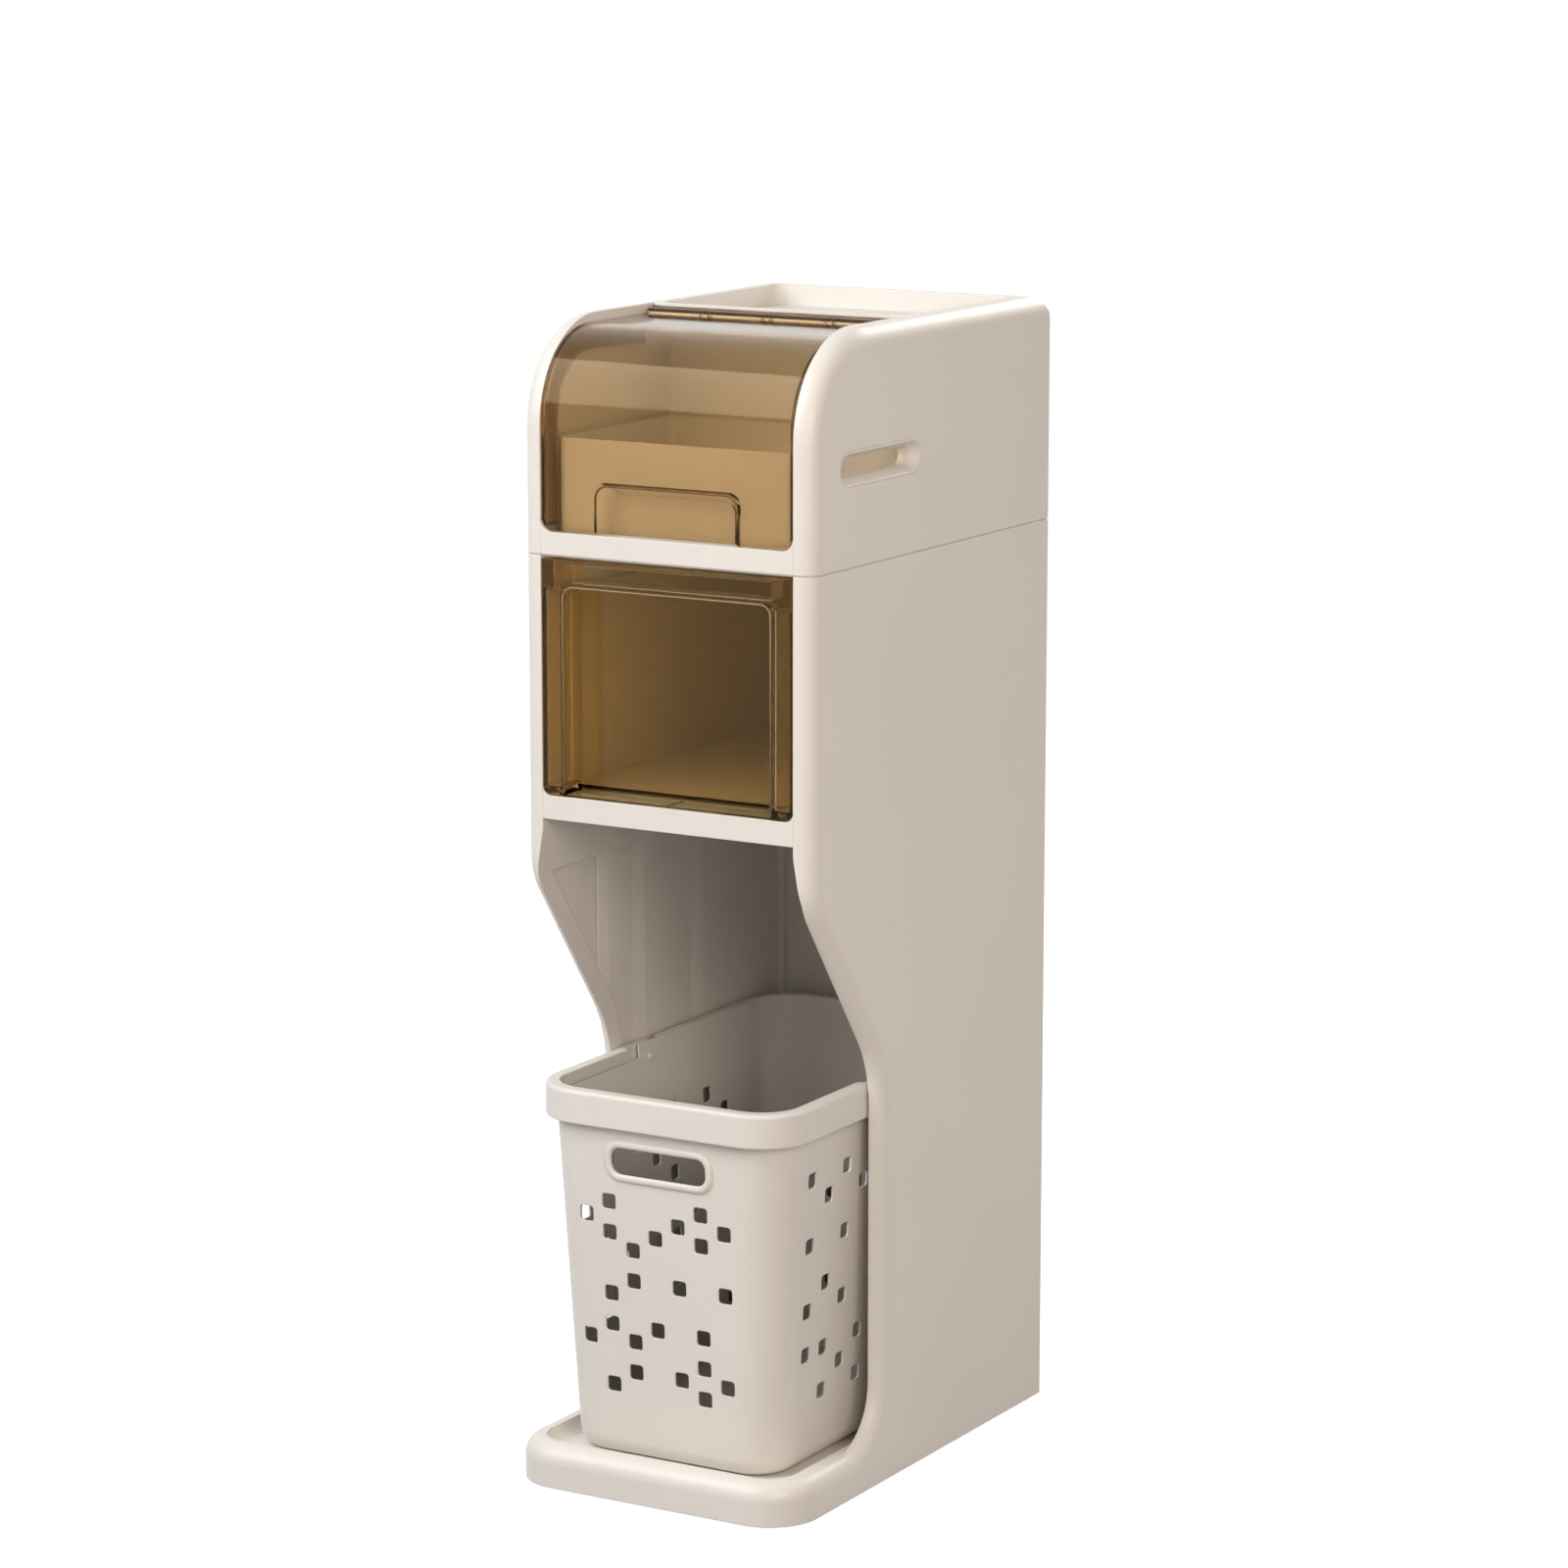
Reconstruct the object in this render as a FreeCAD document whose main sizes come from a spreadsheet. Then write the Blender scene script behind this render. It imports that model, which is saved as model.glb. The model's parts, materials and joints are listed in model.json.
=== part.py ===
"""Slim bathroom storage organizer: two stacked modules with a flip lid, a drawer and a laundry basket.

Millimetres.  X is the width, +Y points to the back, +Z is up, and the origin is the middle of the
footprint on the floor.  Depths named "back" are measured from the plane of the upper front edges.
"""
import FreeCAD, Part
import math
import os

V3 = FreeCAD.Vector
doc = FreeCAD.newDocument("storage_organizer")

# Driving dimensions
SIZES = (
    ("width", 250), ("body_depth", 364), ("base_forward", 34), ("total_height", 882),
    ("upper_height", 174), ("drawer_height", 180), ("side_thickness", 17), ("edge_round", 14),
    ("seam_groove", 1.2), ("skin", 3), ("edge_wall", 8), ("liner_thick", 3), ("plate", 3),
    ("fit_gap", 0.2), ("foot_gap", 1.5), ("rim_height", 34),
    ("waist_back", 102), ("waist_drop", 204), ("waist_slope", 36), ("waist_round", 90),
    ("shoulder_round", 50), ("toe_round", 45), ("lid_round", 80), ("rear_round", 20),
    ("base_corner", 40), ("base_floor", 24), ("rim_width", 16), ("foot_half", 10), ("foot_inset", 34),
    ("foot_height", 3), ("under_round", 30), ("shelf_rib_depth", 9),
    ("rail_height", 18), ("drawer_ear", 7), ("lid_ear", 10), ("rail_ledge", 12),
    ("bay_wall", 5), ("bay_lip", 11), ("lip_width", 18), ("gusset_height", 36), ("gusset_drop", 8),
    ("step_length", 15), ("step_rise", 2),
    ("step_one", 92), ("step_two", 141), ("step_three", 224),
    ("rib_thick", 2.5), ("rib_first", 200), ("rib_step", 90),
    ("drawer_side_gap", 0.8), ("drawer_top_gap", 2), ("drawer_rest_gap", 0.3), ("front_depth", 29),
    ("recess_depth", 26), ("pillar_width", 18), ("top_bar", 20), ("recess_round", 9),
    ("drawer_wall", 2.5), ("drawer_short", 64), ("drawer_side_height", 150), ("skid_height", 2.5),
    ("skid_width", 8), ("box_inset", 3.5),
    ("lid_wall", 2.5), ("lid_drop", 7), ("lid_bend", 66), ("lid_side_gap", 1),
    ("lid_rest_gap", 1), ("lid_front_set", 1),
    ("skirt_depth", 20), ("scoop_width", 121), ("scoop_height", 36), ("scoop_depth", 8),
    ("scoop_slope", 8), ("scoop_round", 10),
    ("barrel_radius", 6.5), ("barrel_back", 150.5), ("barrel_drop", 9), ("pin_radius", 2),
    ("pin_play", 0.05), ("knuckle_short", 7), ("knuckle_count", 4),
    ("knuckle_gap", 0.4), ("barrel_gap", 0.5), ("strip_thick", 2.5), ("strip_height", 14),
    ("tray_recess", 16), ("tray_wall", 3), ("tray_round", 12), ("divider_back", 184),
    ("bin_front", 16), ("bin_length", 160), ("bin_side_gap", 5), ("bin_height", 84), ("bin_wall", 2.2),
    ("bin_round", 8), ("bin_notch_drop", 42), ("bin_notch_margin", 6),
    ("slot_back", 98.5), ("slot_drop", 101), ("slot_length", 122), ("slot_width", 26),
    ("slot_flare", 4.5), ("slot_rim", 1.5), ("slot_flare_depth", 8),
    ("peg_thick", 8), ("peg_wide", 16), ("peg_length", 14), ("peg_inset", 40),
    ("basket_side_gap", 20.5), ("basket_front", 15), ("basket_rear_gap", 14), ("basket_top", 311),
    ("basket_corner", 34), ("basket_draft", 13), ("basket_wall", 2.5), ("basket_turn", 9),
    ("basket_rest_gap", 0.3), ("hole_size", 12), ("hole_margin", 44.5),
    ("front_row", 12), ("front_row_top", 226), ("front_shift", -5), ("side_pitch", 26), ("side_row", 17),
    ("side_row_top", 250), ("side_first", 40), ("grip_width", 82), ("grip_height", 18),
    ("grip_centre", 259), ("grip_round", 8), ("grip_lip", 6), ("grip_lip_rise", 2.5),
    ("handle_height", 26), ("handle_thick", 6), ("handle_gap", 1.5), ("handle_lip_drop", 10.7),
    ("handle_lip_reach", 5), ("handle_lip_end", 30), ("pivot_back", 140), ("pivot_step", 15),
    ("pivot_pin", 3), ("pin_proud", 2), ("rear_rim_height", 11),
    ("rear_rim_out", 6.5), ("rear_rim_start", 17),
    ("cut_past", 1), ("hair", 0.01),
)
DERIVED = (
    ("front_y", "=base_forward / 2 - body_depth / 2"),
    ("back_y", "=front_y + body_depth"),
    ("base_y", "=front_y - base_forward"),
    ("seam_y", "=base_y + base_corner"),
    ("half", "=width / 2"),
    ("inner", "=half - side_thickness"),
    ("seam_height", "=total_height - upper_height"),
    ("shelf_top", "=seam_height - drawer_height"),
    ("waist_corner", "=shelf_top - waist_drop"),
    ("slot_height", "=total_height - slot_drop"),
    ("bay_top", "=shelf_top - rail_height - gusset_drop - gusset_height"),
    ("base_rib_pitch", "=inner / 2"),
    ("shelf_rib_pitch", "=inner * 2 / 3"),
    ("drawer_length", "=body_depth - drawer_short"),
    ("basket_half", "=half - basket_side_gap"),
    ("basket_length", "=body_depth - basket_rear_gap"),
    ("front_pitch", "=(basket_half - hole_margin) / 3"),
    ("knuckle_pitch", "=2 * inner / knuckle_count"),
    ("knuckle_long", "=knuckle_pitch - knuckle_short"),
    ("deck_rail_top", "=seam_height + rail_height"),
    ("tray_floor", "=total_height - tray_recess"),
    ("barrel_y", "=front_y + barrel_back"),
    ("barrel_z", "=total_height - barrel_drop"),
    ("strip_y", "=barrel_y + barrel_radius + barrel_gap"),
    ("tray_y", "=strip_y + strip_thick"),
    ("divider_y", "=front_y + divider_back"),
)
FRONT_HOLES = ((1, 9), (0, 2, 6, 8, 12), (3, 5, 9, 11), (2, 8), (1, 5, 11), (0, 2, 8, 10, 12), (1, 5, 11))
SIDE_HOLES = ((0, 3, 6, 8), (1, 5, 8, 10), (0, 3, 6, 9), (1, 8, 10), (2, 4, 6, 9))


def make_sheet():
    """Spreadsheet with one aliased cell per dimension."""
    cells = doc.addObject("Spreadsheet::Sheet", "dim")
    for row, (alias, value) in enumerate(SIZES + DERIVED, start=1):
        cells.set("A%d" % row, alias)
        cells.set("B%d" % row, str(value))
        cells.setAlias("B%d" % row, alias)
    doc.recompute()
    return cells


sheet = make_sheet()


class Reader:
    """Gives a dimension of the sheet by its name."""

    def __getattr__(self, alias):
        return float(sheet.get(alias))


d = Reader()


# Outlines from corner points, each with its own round
def rounded(corners):
    """Lines and tangent arcs round a closed outline of (a, b, radius) corners."""
    points = [V3(a, b, 0) for a, b, radius in corners]
    entries = []
    leaves = []
    arcs = []
    for i, (a, b, radius) in enumerate(corners):
        point = points[i]
        to_last = (points[i - 1] - point).normalize()
        to_next = (points[(i + 1) % len(points)] - point).normalize()
        if radius <= 0:
            entries.append(point)
            leaves.append(point)
            arcs.append(None)
            continue
        half_angle = to_last.getAngle(to_next) / 2
        reach = radius / math.tan(half_angle)
        centre = point + (to_last + to_next).normalize() * (radius / math.sin(half_angle))
        middle = centre + (point - centre).normalize() * radius
        entries.append(point + to_last * reach)
        leaves.append(point + to_next * reach)
        arcs.append(Part.Arc(entries[-1], middle, leaves[-1]))
    curves = []
    for i, arc in enumerate(arcs):
        if arc is not None:
            curves.append(arc)
        following = entries[(i + 1) % len(entries)]
        if (following - leaves[i]).Length > 1e-6:
            curves.append(Part.LineSegment(leaves[i], following))
    return curves


def inset(corners, distance):
    """The same outline moved inwards; listed counter-clockwise."""
    points = [V3(a, b, 0) for a, b, radius in corners]
    moved = []
    for i, (a, b, radius) in enumerate(corners):
        before = (points[i] - points[i - 1]).normalize()
        after = (points[(i + 1) % len(points)] - points[i]).normalize()
        normal_before = V3(-before.y, before.x, 0)
        normal_after = V3(-after.y, after.x, 0)
        bisector = normal_before + normal_after
        step = bisector * (2 * distance / bisector.Length ** 2)
        turn = before.x * after.y - before.y * after.x
        grown = radius - distance if turn > 0 else radius + distance
        moved.append((a + step.x, b + step.y, max(grown, 0) if radius > 0 else 0))
    return moved


def rectangle(a0, a1, b0, b1, radius=0):
    """Counter-clockwise rectangle corners with one radius."""
    return [(a0, b0, radius), (a1, b0, radius), (a1, b1, radius), (a0, b1, radius)]


SIDE_VIEW = FreeCAD.Rotation(V3(0, 1, 0), V3(0, 0, 1), V3(1, 0, 0), "XYZ")
FRONT_VIEW = FreeCAD.Rotation(V3(1, 0, 0), V3(0, 0, 1), V3(0, -1, 0), "XYZ")
TOP_VIEW = FreeCAD.Rotation()


def face_of(corners, view, level):
    """Flat face of an outline seen from the side, the front or the top, at a level along its normal."""
    wire = Part.Wire([curve.toShape() for curve in rounded(corners)])
    wire.Placement = FreeCAD.Placement(view.multVec(V3(0, 0, level)), view)
    return Part.Face(wire)


def slab(corners, view, low, high):
    """Outline extruded between two levels along its view's normal."""
    return face_of(corners, view, low).extrude(view.multVec(V3(0, 0, high - low)))


def front_slab(corners, y0, y1):
    """Front-view outline extruded from y0 to y1."""
    return slab(corners, FRONT_VIEW, -y1, -y0)


def side_slab(corners, x0, x1):
    """Side-view outline extruded from x0 to x1."""
    return slab(corners, SIDE_VIEW, x0, x1)


def top_slab(corners, z0, z1):
    """Plan outline extruded from z0 to z1."""
    return slab(corners, TOP_VIEW, z0, z1)


# Document objects
def feature(label, shape):
    """Sub-part whose shape is worked out above from the sheet."""
    piece = doc.addObject("Part::Feature", label)
    piece.Label = label
    piece.Shape = shape.removeSplitter()
    piece.Placement = FreeCAD.Placement()
    return piece


def bind(target, expressions):
    """Tie properties to the sheet."""
    for name, text in expressions.items():
        target.setExpression(name, text)
    return target


def box(name, size, corner):
    """Box with its three sizes and its low corner tied to the sheet."""
    names = ("Length", "Width", "Height", "Placement.Base.x", "Placement.Base.y", "Placement.Base.z")
    return bind(doc.addObject("Part::Box", name), dict(zip(names, size + corner)))


def rod(name, radius, length, centre, along_x=False):
    """Cylinder on Z or along X, tied to the sheet."""
    piece = doc.addObject("Part::Cylinder", name)
    if along_x:
        piece.Placement.Rotation = FreeCAD.Rotation(V3(0, 1, 0), 90)
    names = ("Radius", "Height", "Placement.Base.x", "Placement.Base.y", "Placement.Base.z")
    return bind(piece, dict(zip(names, (radius, length) + centre)))


def join(name, pieces):
    """Union of several objects."""
    group = doc.addObject("Part::MultiFuse", name)
    group.Shapes = pieces
    group.Refine = True
    return group


def cut(name, base, tool):
    """One object less another."""
    result = doc.addObject("Part::Cut", name)
    result.Base = base
    result.Tool = tool
    result.Refine = True
    return result


def plane_of(body, role):
    """Origin plane or axis of a body by its role."""
    return next(item for item in body.Origin.OriginFeatures if item.Role == role)


def sketch(body, name, role, curves, level="0"):
    """Sketch on an origin plane, moved along its normal by an expression."""
    made = body.newObject("Sketcher::SketchObject", name)
    made.AttachmentSupport = [(plane_of(body, role), "")]
    made.MapMode = "FlatFace"
    made.setExpression("AttachmentOffset.Base.z", level)
    made.addGeometry(curves, False)
    return made


def pad(body, name, profile, length, reverse=False, middle=False):
    """Pad of a sketch with its length tied to the sheet."""
    made = body.newObject("PartDesign::Pad", name)
    made.Profile = profile
    made.setExpression("Length", length)
    made.Reversed = reverse
    made.Midplane = middle
    doc.recompute()
    return made


def pocket(body, name, profile, depth, reverse=False):
    """Pocket of a sketch; it must take material away."""
    before = body.Shape.Volume
    made = body.newObject("PartDesign::Pocket", name)
    made.Profile = profile
    made.setExpression("Length", depth)
    made.Reversed = reverse
    doc.recompute()
    if body.Shape.Volume > before - 1:
        raise RuntimeError(name + " cuts nothing")
    return made


def round_edges(body, name, wanted, radius):
    """Fillet on the edges of the body's last feature that a test picks out."""
    tip = body.Tip
    names = ["Edge%d" % (i + 1) for i, edge in enumerate(tip.Shape.Edges) if wanted(edge)]
    made = body.newObject("PartDesign::Fillet", name)
    made.Base = (tip, names)
    made.setExpression("Radius", radius)
    doc.recompute()
    return made


def new_body(label):
    """Empty body for one sub-part."""
    body = doc.addObject("PartDesign::Body", label)
    body.Label = label
    return body


def on_plane(edge, axis, value):
    """True where an edge lies wholly at one coordinate."""
    box_of_edge = edge.BoundBox
    low = (box_of_edge.XMin, box_of_edge.YMin, box_of_edge.ZMin)[axis]
    high = (box_of_edge.XMax, box_of_edge.YMax, box_of_edge.ZMax)[axis]
    return abs(low - value) < 1e-4 and abs(high - value) < 1e-4


# Side outlines, counter-clockwise as seen with Y to the right and Z up
SHOULDER = 4
WAIST = 5


def lower_side_outline():
    """Lower side: long foot strip, toe curve, set-back waist and the sweep out to the front plane."""
    waist_y = d.front_y + d.waist_back
    shoulder = d.waist_corner + d.waist_back / math.tan(math.radians(d.waist_slope))
    return [
        (d.seam_y, d.foot_gap, 0),
        (d.back_y, d.foot_gap, 0),
        (d.back_y, d.seam_height, 0),
        (d.front_y, d.seam_height, 0),
        (d.front_y, shoulder, d.shoulder_round),
        (waist_y, d.waist_corner, d.waist_round),
        (waist_y, d.rim_height, d.toe_round),
        (d.seam_y, d.rim_height, 0),
    ]


def upper_side_outline(rear_round):
    """Upper side: quarter round at the front that the lid follows, small round at the top back."""
    return [
        (d.front_y, d.seam_height, 0),
        (d.back_y, d.seam_height, 0),
        (d.back_y, d.total_height, rear_round),
        (d.front_y, d.total_height, d.lid_round),
    ]


def trim_rear_corner(body, side):
    """Round the top back corner of an upper side right across its thickness."""
    radius = d.rear_round
    corner = V3(d.back_y, d.total_height, 0)
    below = corner - V3(0, radius, 0)
    ahead = corner - V3(radius, 0, 0)
    inward = radius * (1 - math.sin(math.pi / 4))
    middle = corner - V3(inward, inward, 0)
    lines = [Part.LineSegment(below, corner), Part.LineSegment(corner, ahead), Part.Arc(ahead, middle, below)]
    mouth = "dim.inner" if side > 0 else "-dim.inner"
    trim = sketch(body, body.Label + "_rear_corner", "YZ_Plane", lines, mouth)
    pocket(body, body.Label + "_rear_round", trim, "dim.side_thickness", reverse=side > 0)


def side_shell(label, outline, side, hollows, skin):
    """Moulded side: a skin with a soft outer edge, hollows behind it and upright ribs in the first."""
    outer = side * d.half
    body = new_body(label)
    start = "dim.inner" if side > 0 else "-dim.half"
    profile = sketch(body, label + "_outline", "YZ_Plane", rounded(outline), start)
    pad(body, label + "_pad", profile, "dim.side_thickness")
    seam_levels = (d.seam_height, d.foot_gap)

    def soft(edge):
        on_seam = any(on_plane(edge, 2, level) for level in seam_levels)
        upright = on_plane(edge, 1, d.back_y) or on_plane(edge, 1, d.seam_y)
        return on_plane(edge, 0, outer) and not on_seam and not upright

    round_edges(body, label + "_soft_edge", soft, "dim.edge_round")
    mouth = "dim.inner" if side > 0 else "-dim.inner"
    curves = []
    for corners in hollows:
        curves += rounded(corners)
    hollow = sketch(body, label + "_hollow", "YZ_Plane", curves, mouth)
    pocket(body, label + "_pocket", hollow, "dim.side_thickness - " + skin, reverse=side > 0)
    ribs = []
    rib_low = min(b for a, b, radius in hollows[0])
    rib_high = max(b for a, b, radius in hollows[0])
    for number in range(2):
        rib_y = d.front_y + d.rib_first + number * d.rib_step
        ribs += rounded(rectangle(rib_y, rib_y + d.rib_thick, rib_low, rib_high))
    level = "dim.half - " + skin if side > 0 else "-dim.half + " + skin
    rib_sketch = sketch(body, label + "_rib_lines", "YZ_Plane", ribs, level)
    depth = "dim.side_thickness - dim.liner_thick - " + skin
    pad(body, label + "_ribs", rib_sketch, depth, reverse=side > 0)
    return body


def peg_centres():
    """Where the pegs between the modules stand, in plan."""
    x = d.half - d.side_thickness / 2
    return [(sx * x, y) for sx in (-1, 1) for y in (d.front_y + d.peg_inset, d.back_y - d.peg_inset)]


def drill_for_pegs(body, side, up):
    """Blind peg holes in the flange at the seam."""
    across = d.peg_thick / 2 + d.fit_gap
    along = d.peg_wide / 2 + d.fit_gap
    lines = []
    for x, y in peg_centres():
        if x * side > 0:
            lines += rounded(rectangle(x - across, x + across, y - along, y + along))
    holes = sketch(body, body.Label + "_peg_lines", "XY_Plane", lines, "dim.seam_height")
    pocket(body, body.Label + "_peg_holes", holes, "dim.peg_length / 2 + dim.fit_gap", reverse=up)


def bay_outline(side):
    """Front view of the room cut into a lower side, sloping in under the shelf."""
    top = d.bay_top + d.gusset_height
    wall = side * (d.half - d.bay_lip)
    mouth = side * d.inner
    corners = [
        (0, d.rim_height, 0),
        (wall, d.rim_height, 0),
        (wall, d.bay_top, 0),
        (mouth, top, 0),
        (0, top, 0),
    ]
    return corners if side > 0 else corners[::-1]


def panel_outline(gap):
    """Side view of the thin part of a lower side: behind the thick lip that follows the front edge."""
    edge = inset(lower_side_outline(), d.lip_width + gap)
    shoulder_y, shoulder_z, _ = edge[SHOULDER]
    waist_y, waist_z, waist_round = edge[WAIST]
    top = d.bay_top - gap
    share = (top - waist_z) / (shoulder_z - waist_z)
    rear = d.back_y - d.edge_wall
    return [
        (waist_y, d.rim_height, 0),
        (rear, d.rim_height, 0),
        (rear, top, 0),
        (waist_y + share * (shoulder_y - waist_y), top, 0),
        (waist_y, waist_z, waist_round),
    ]


def lower_sides():
    """Left and right lower sides, thin round the basket, with a wall for the drawer and one for the bay."""
    outline = lower_side_outline()
    drawer_zone = rectangle(d.front_y + d.edge_wall, d.back_y - d.edge_wall,
                            d.shelf_top + d.edge_wall, d.seam_height - d.edge_wall)
    foot_zone = rectangle(d.seam_y + d.edge_wall, d.back_y - d.edge_wall,
                          d.foot_gap + d.bay_wall, d.rim_height - d.bay_wall)
    for side, word in ((-1, "left"), (1, "right")):
        body = side_shell("lower_%s_side" % word, outline, side, (drawer_zone, foot_zone), "dim.bay_wall")
        opening = rounded(bay_outline(side))
        room = sketch(body, body.Label + "_bay_outline", "XZ_Plane", opening, "-dim.base_y")
        pocket(body, body.Label + "_bay", room, "dim.back_y - dim.edge_wall - dim.base_y")
        level = "dim.half - dim.bay_lip" if side > 0 else "dim.bay_lip - dim.half"
        panel = sketch(body, body.Label + "_panel_lines", "YZ_Plane", rounded(panel_outline(0)), level)
        pocket(body, body.Label + "_panel", panel, "dim.bay_lip - dim.bay_wall", reverse=side > 0)
        drill_for_pegs(body, side, False)
        feature("drawer_%s_liner" % word, liner(drawer_zone, side))
        feature("bay_%s_liner" % word, bay_liner(side))


def bay_liner(side):
    """Inner wall of the basket bay that thickens towards the back in three long ramps."""
    face = d.half - d.bay_wall
    rear = d.back_y - d.edge_wall
    section = [(side * face, rear, 0)]
    for number, back in enumerate((d.step_one, d.step_two, d.step_three)):
        y = d.front_y + back
        section.append((side * (face - number * d.step_rise), y, 0))
        section.append((side * (face - (number + 1) * d.step_rise), y + d.step_length, 0))
    section.append((section[-1][0], rear, 0))
    wall = top_slab(section, d.rim_height, d.shelf_top)
    return wall.common(side_slab(panel_outline(2 * d.fit_gap), -d.half, d.half))


def liner(outline, side):
    """Flat inner wall that snaps into the mouth of a hollow in a side."""
    face = side * d.inner
    back = side * (d.inner + d.liner_thick)
    return side_slab(inset(outline, d.fit_gap), min(face, back), max(face, back))


def seam_ring():
    """Plan of the shallow groove round the front and sides, above the seam between the modules."""
    far = d.half + d.cut_past
    near = d.half - d.seam_groove
    front = d.front_y + d.seam_groove
    soft = d.edge_round - d.seam_groove
    rear = d.back_y + d.cut_past
    return [
        (-far, d.front_y - d.cut_past, 0),
        (far, d.front_y - d.cut_past, 0),
        (far, rear, 0),
        (near, rear, 0),
        (near, front, soft),
        (-near, front, soft),
        (-near, rear, 0),
        (-far, rear, 0),
    ]


def upper_sides():
    """Left and right upper sides; the right one has the paper slot."""
    outline = upper_side_outline(0)
    hollow = inset(upper_side_outline(d.rear_round), d.edge_wall)
    window = slot_outline(d.fit_gap)
    for side, word in ((-1, "left"), (1, "right")):
        body = side_shell("upper_%s_side" % word, outline, side, (hollow,), "dim.skin")
        trim_rear_corner(body, side)
        ring = sketch(body, body.Label + "_seam_lines", "XY_Plane", rounded(seam_ring()), "dim.seam_height")
        pocket(body, body.Label + "_seam_groove", ring, "dim.seam_groove", reverse=True)
        drill_for_pegs(body, side, True)
        wall = liner(hollow, side)
        if side > 0:
            cutter = sketch(body, "slot_window", "YZ_Plane", rounded(window), "dim.half")
            pocket(body, "slot_cut", cutter, "dim.skin + dim.cut_past")
            wall = wall.cut(side_slab(window, d.inner - d.cut_past, d.half))
        feature("upper_%s_liner" % word, wall)


def slot_outline(grow):
    """Round-ended slot in side view."""
    y = d.front_y + d.slot_back
    half_length = d.slot_length / 2 + grow
    half_width = d.slot_width / 2 + grow
    return rectangle(y - half_length, y + half_length, d.slot_height - half_width,
                     d.slot_height + half_width, half_width - d.hair)


def paper_slot_bezel():
    """Sleeve through the right side whose mouth flares to the outside."""
    mouth = inset(slot_outline(0), d.slot_rim)
    throat = inset(slot_outline(0), d.slot_rim + d.slot_flare)
    flare_start = d.half - d.slot_flare_depth
    sleeve = side_slab(slot_outline(0), d.inner, d.half)
    wires = [face_of(throat, SIDE_VIEW, flare_start).OuterWire, face_of(mouth, SIDE_VIEW, d.half).OuterWire]
    sleeve = sleeve.cut(side_slab(throat, d.inner - d.cut_past, flare_start + d.hair))
    feature("paper_slot_bezel", sleeve.cut(Part.makeLoft(wires, True, True)))


def base_tray():
    """Foot of the lower module: rounded front, raised rim, flat floor, ribbed and open underneath."""
    body = new_body("base_tray")
    rear = d.back_y - d.plate
    outline = [
        (-d.half, d.seam_y, 0),
        (-d.half, d.base_y, d.base_corner),
        (d.half, d.base_y, d.base_corner),
        (d.half, d.seam_y, 0),
        (d.inner, d.seam_y, 0),
        (d.inner, rear, 0),
        (-d.inner, rear, 0),
        (-d.inner, d.seam_y, 0),
    ]
    profile = sketch(body, "base_outline", "XY_Plane", rounded(outline), "dim.foot_gap")
    pad(body, "base_pad", profile, "dim.rim_height - dim.foot_gap")

    def rim_edge(edge):
        return on_plane(edge, 2, d.rim_height) and edge.BoundBox.YMax < d.seam_y + 1e-4 and not on_plane(
            edge, 1, d.seam_y)

    round_edges(body, "rim_round", rim_edge, "dim.edge_round")
    well = rectangle(-d.inner, d.inner, d.base_y + d.rim_width, rear + d.cut_past)
    inner_corner = d.base_corner - d.side_thickness
    well = [(a, b, inner_corner if b < rear else 0) for a, b, radius in well]
    pocket(body, "well", sketch(body, "well_outline", "XY_Plane", rounded(well), "dim.rim_height"),
           "dim.rim_height - dim.base_floor")
    hollow = rectangle(-d.inner + d.plate, d.inner - d.plate, d.base_y + d.plate, rear - d.plate)
    hollow = [(a, b, d.under_round if b < d.seam_y else 0) for a, b, radius in hollow]
    under = sketch(body, "under_outline", "XY_Plane", rounded(hollow), "dim.foot_gap")
    pocket(body, "underside", under, "dim.base_floor - dim.plate - dim.foot_gap", reverse=True)
    ribs = []
    for number in (-1, 0, 1):
        x = number * d.base_rib_pitch
        x0 = x - d.rib_thick / 2
        ribs += rounded(rectangle(x0, x0 + d.rib_thick, d.base_y + d.plate, rear - d.plate))
    rib_lines = sketch(body, "base_rib_lines", "XY_Plane", ribs, "dim.base_floor - dim.plate")
    pad(body, "base_ribs", rib_lines, "dim.base_floor - dim.plate - dim.foot_height", reverse=True)
    reach = d.foot_half + d.plate
    squares = []
    for x, y in foot_centres():
        squares += rounded(rectangle(x - reach, x + reach, y - reach, y + reach))
    bosses = sketch(body, "boss_lines", "XY_Plane", squares, "dim.base_floor - dim.plate")
    pad(body, "foot_bosses", bosses, "dim.base_floor - dim.plate - dim.foot_height", reverse=True)


def foot_centres():
    """Where the four feet stand, in plan."""
    xs = (-d.inner + d.foot_inset, d.inner - d.foot_inset)
    ys = (d.base_y + d.foot_inset, d.back_y - d.foot_inset)
    return [(x, y) for x in xs for y in ys]


def foot_pads():
    """Four square non-slip pads under the bosses of the base."""
    spots = (("-dim.inner + dim.foot_inset", "dim.base_y + dim.foot_inset"),
             ("dim.inner - dim.foot_inset", "dim.base_y + dim.foot_inset"),
             ("-dim.inner + dim.foot_inset", "dim.back_y - dim.foot_inset"),
             ("dim.inner - dim.foot_inset", "dim.back_y - dim.foot_inset"))
    pads = []
    across = "2 * dim.foot_half"
    for number, (x, y) in enumerate(spots):
        pads.append(box("foot_%d" % number, (across, across, "dim.foot_height"),
                        (x + " - dim.foot_half", y + " - dim.foot_half", "0")))
    join("foot_pads", pads)


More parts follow.
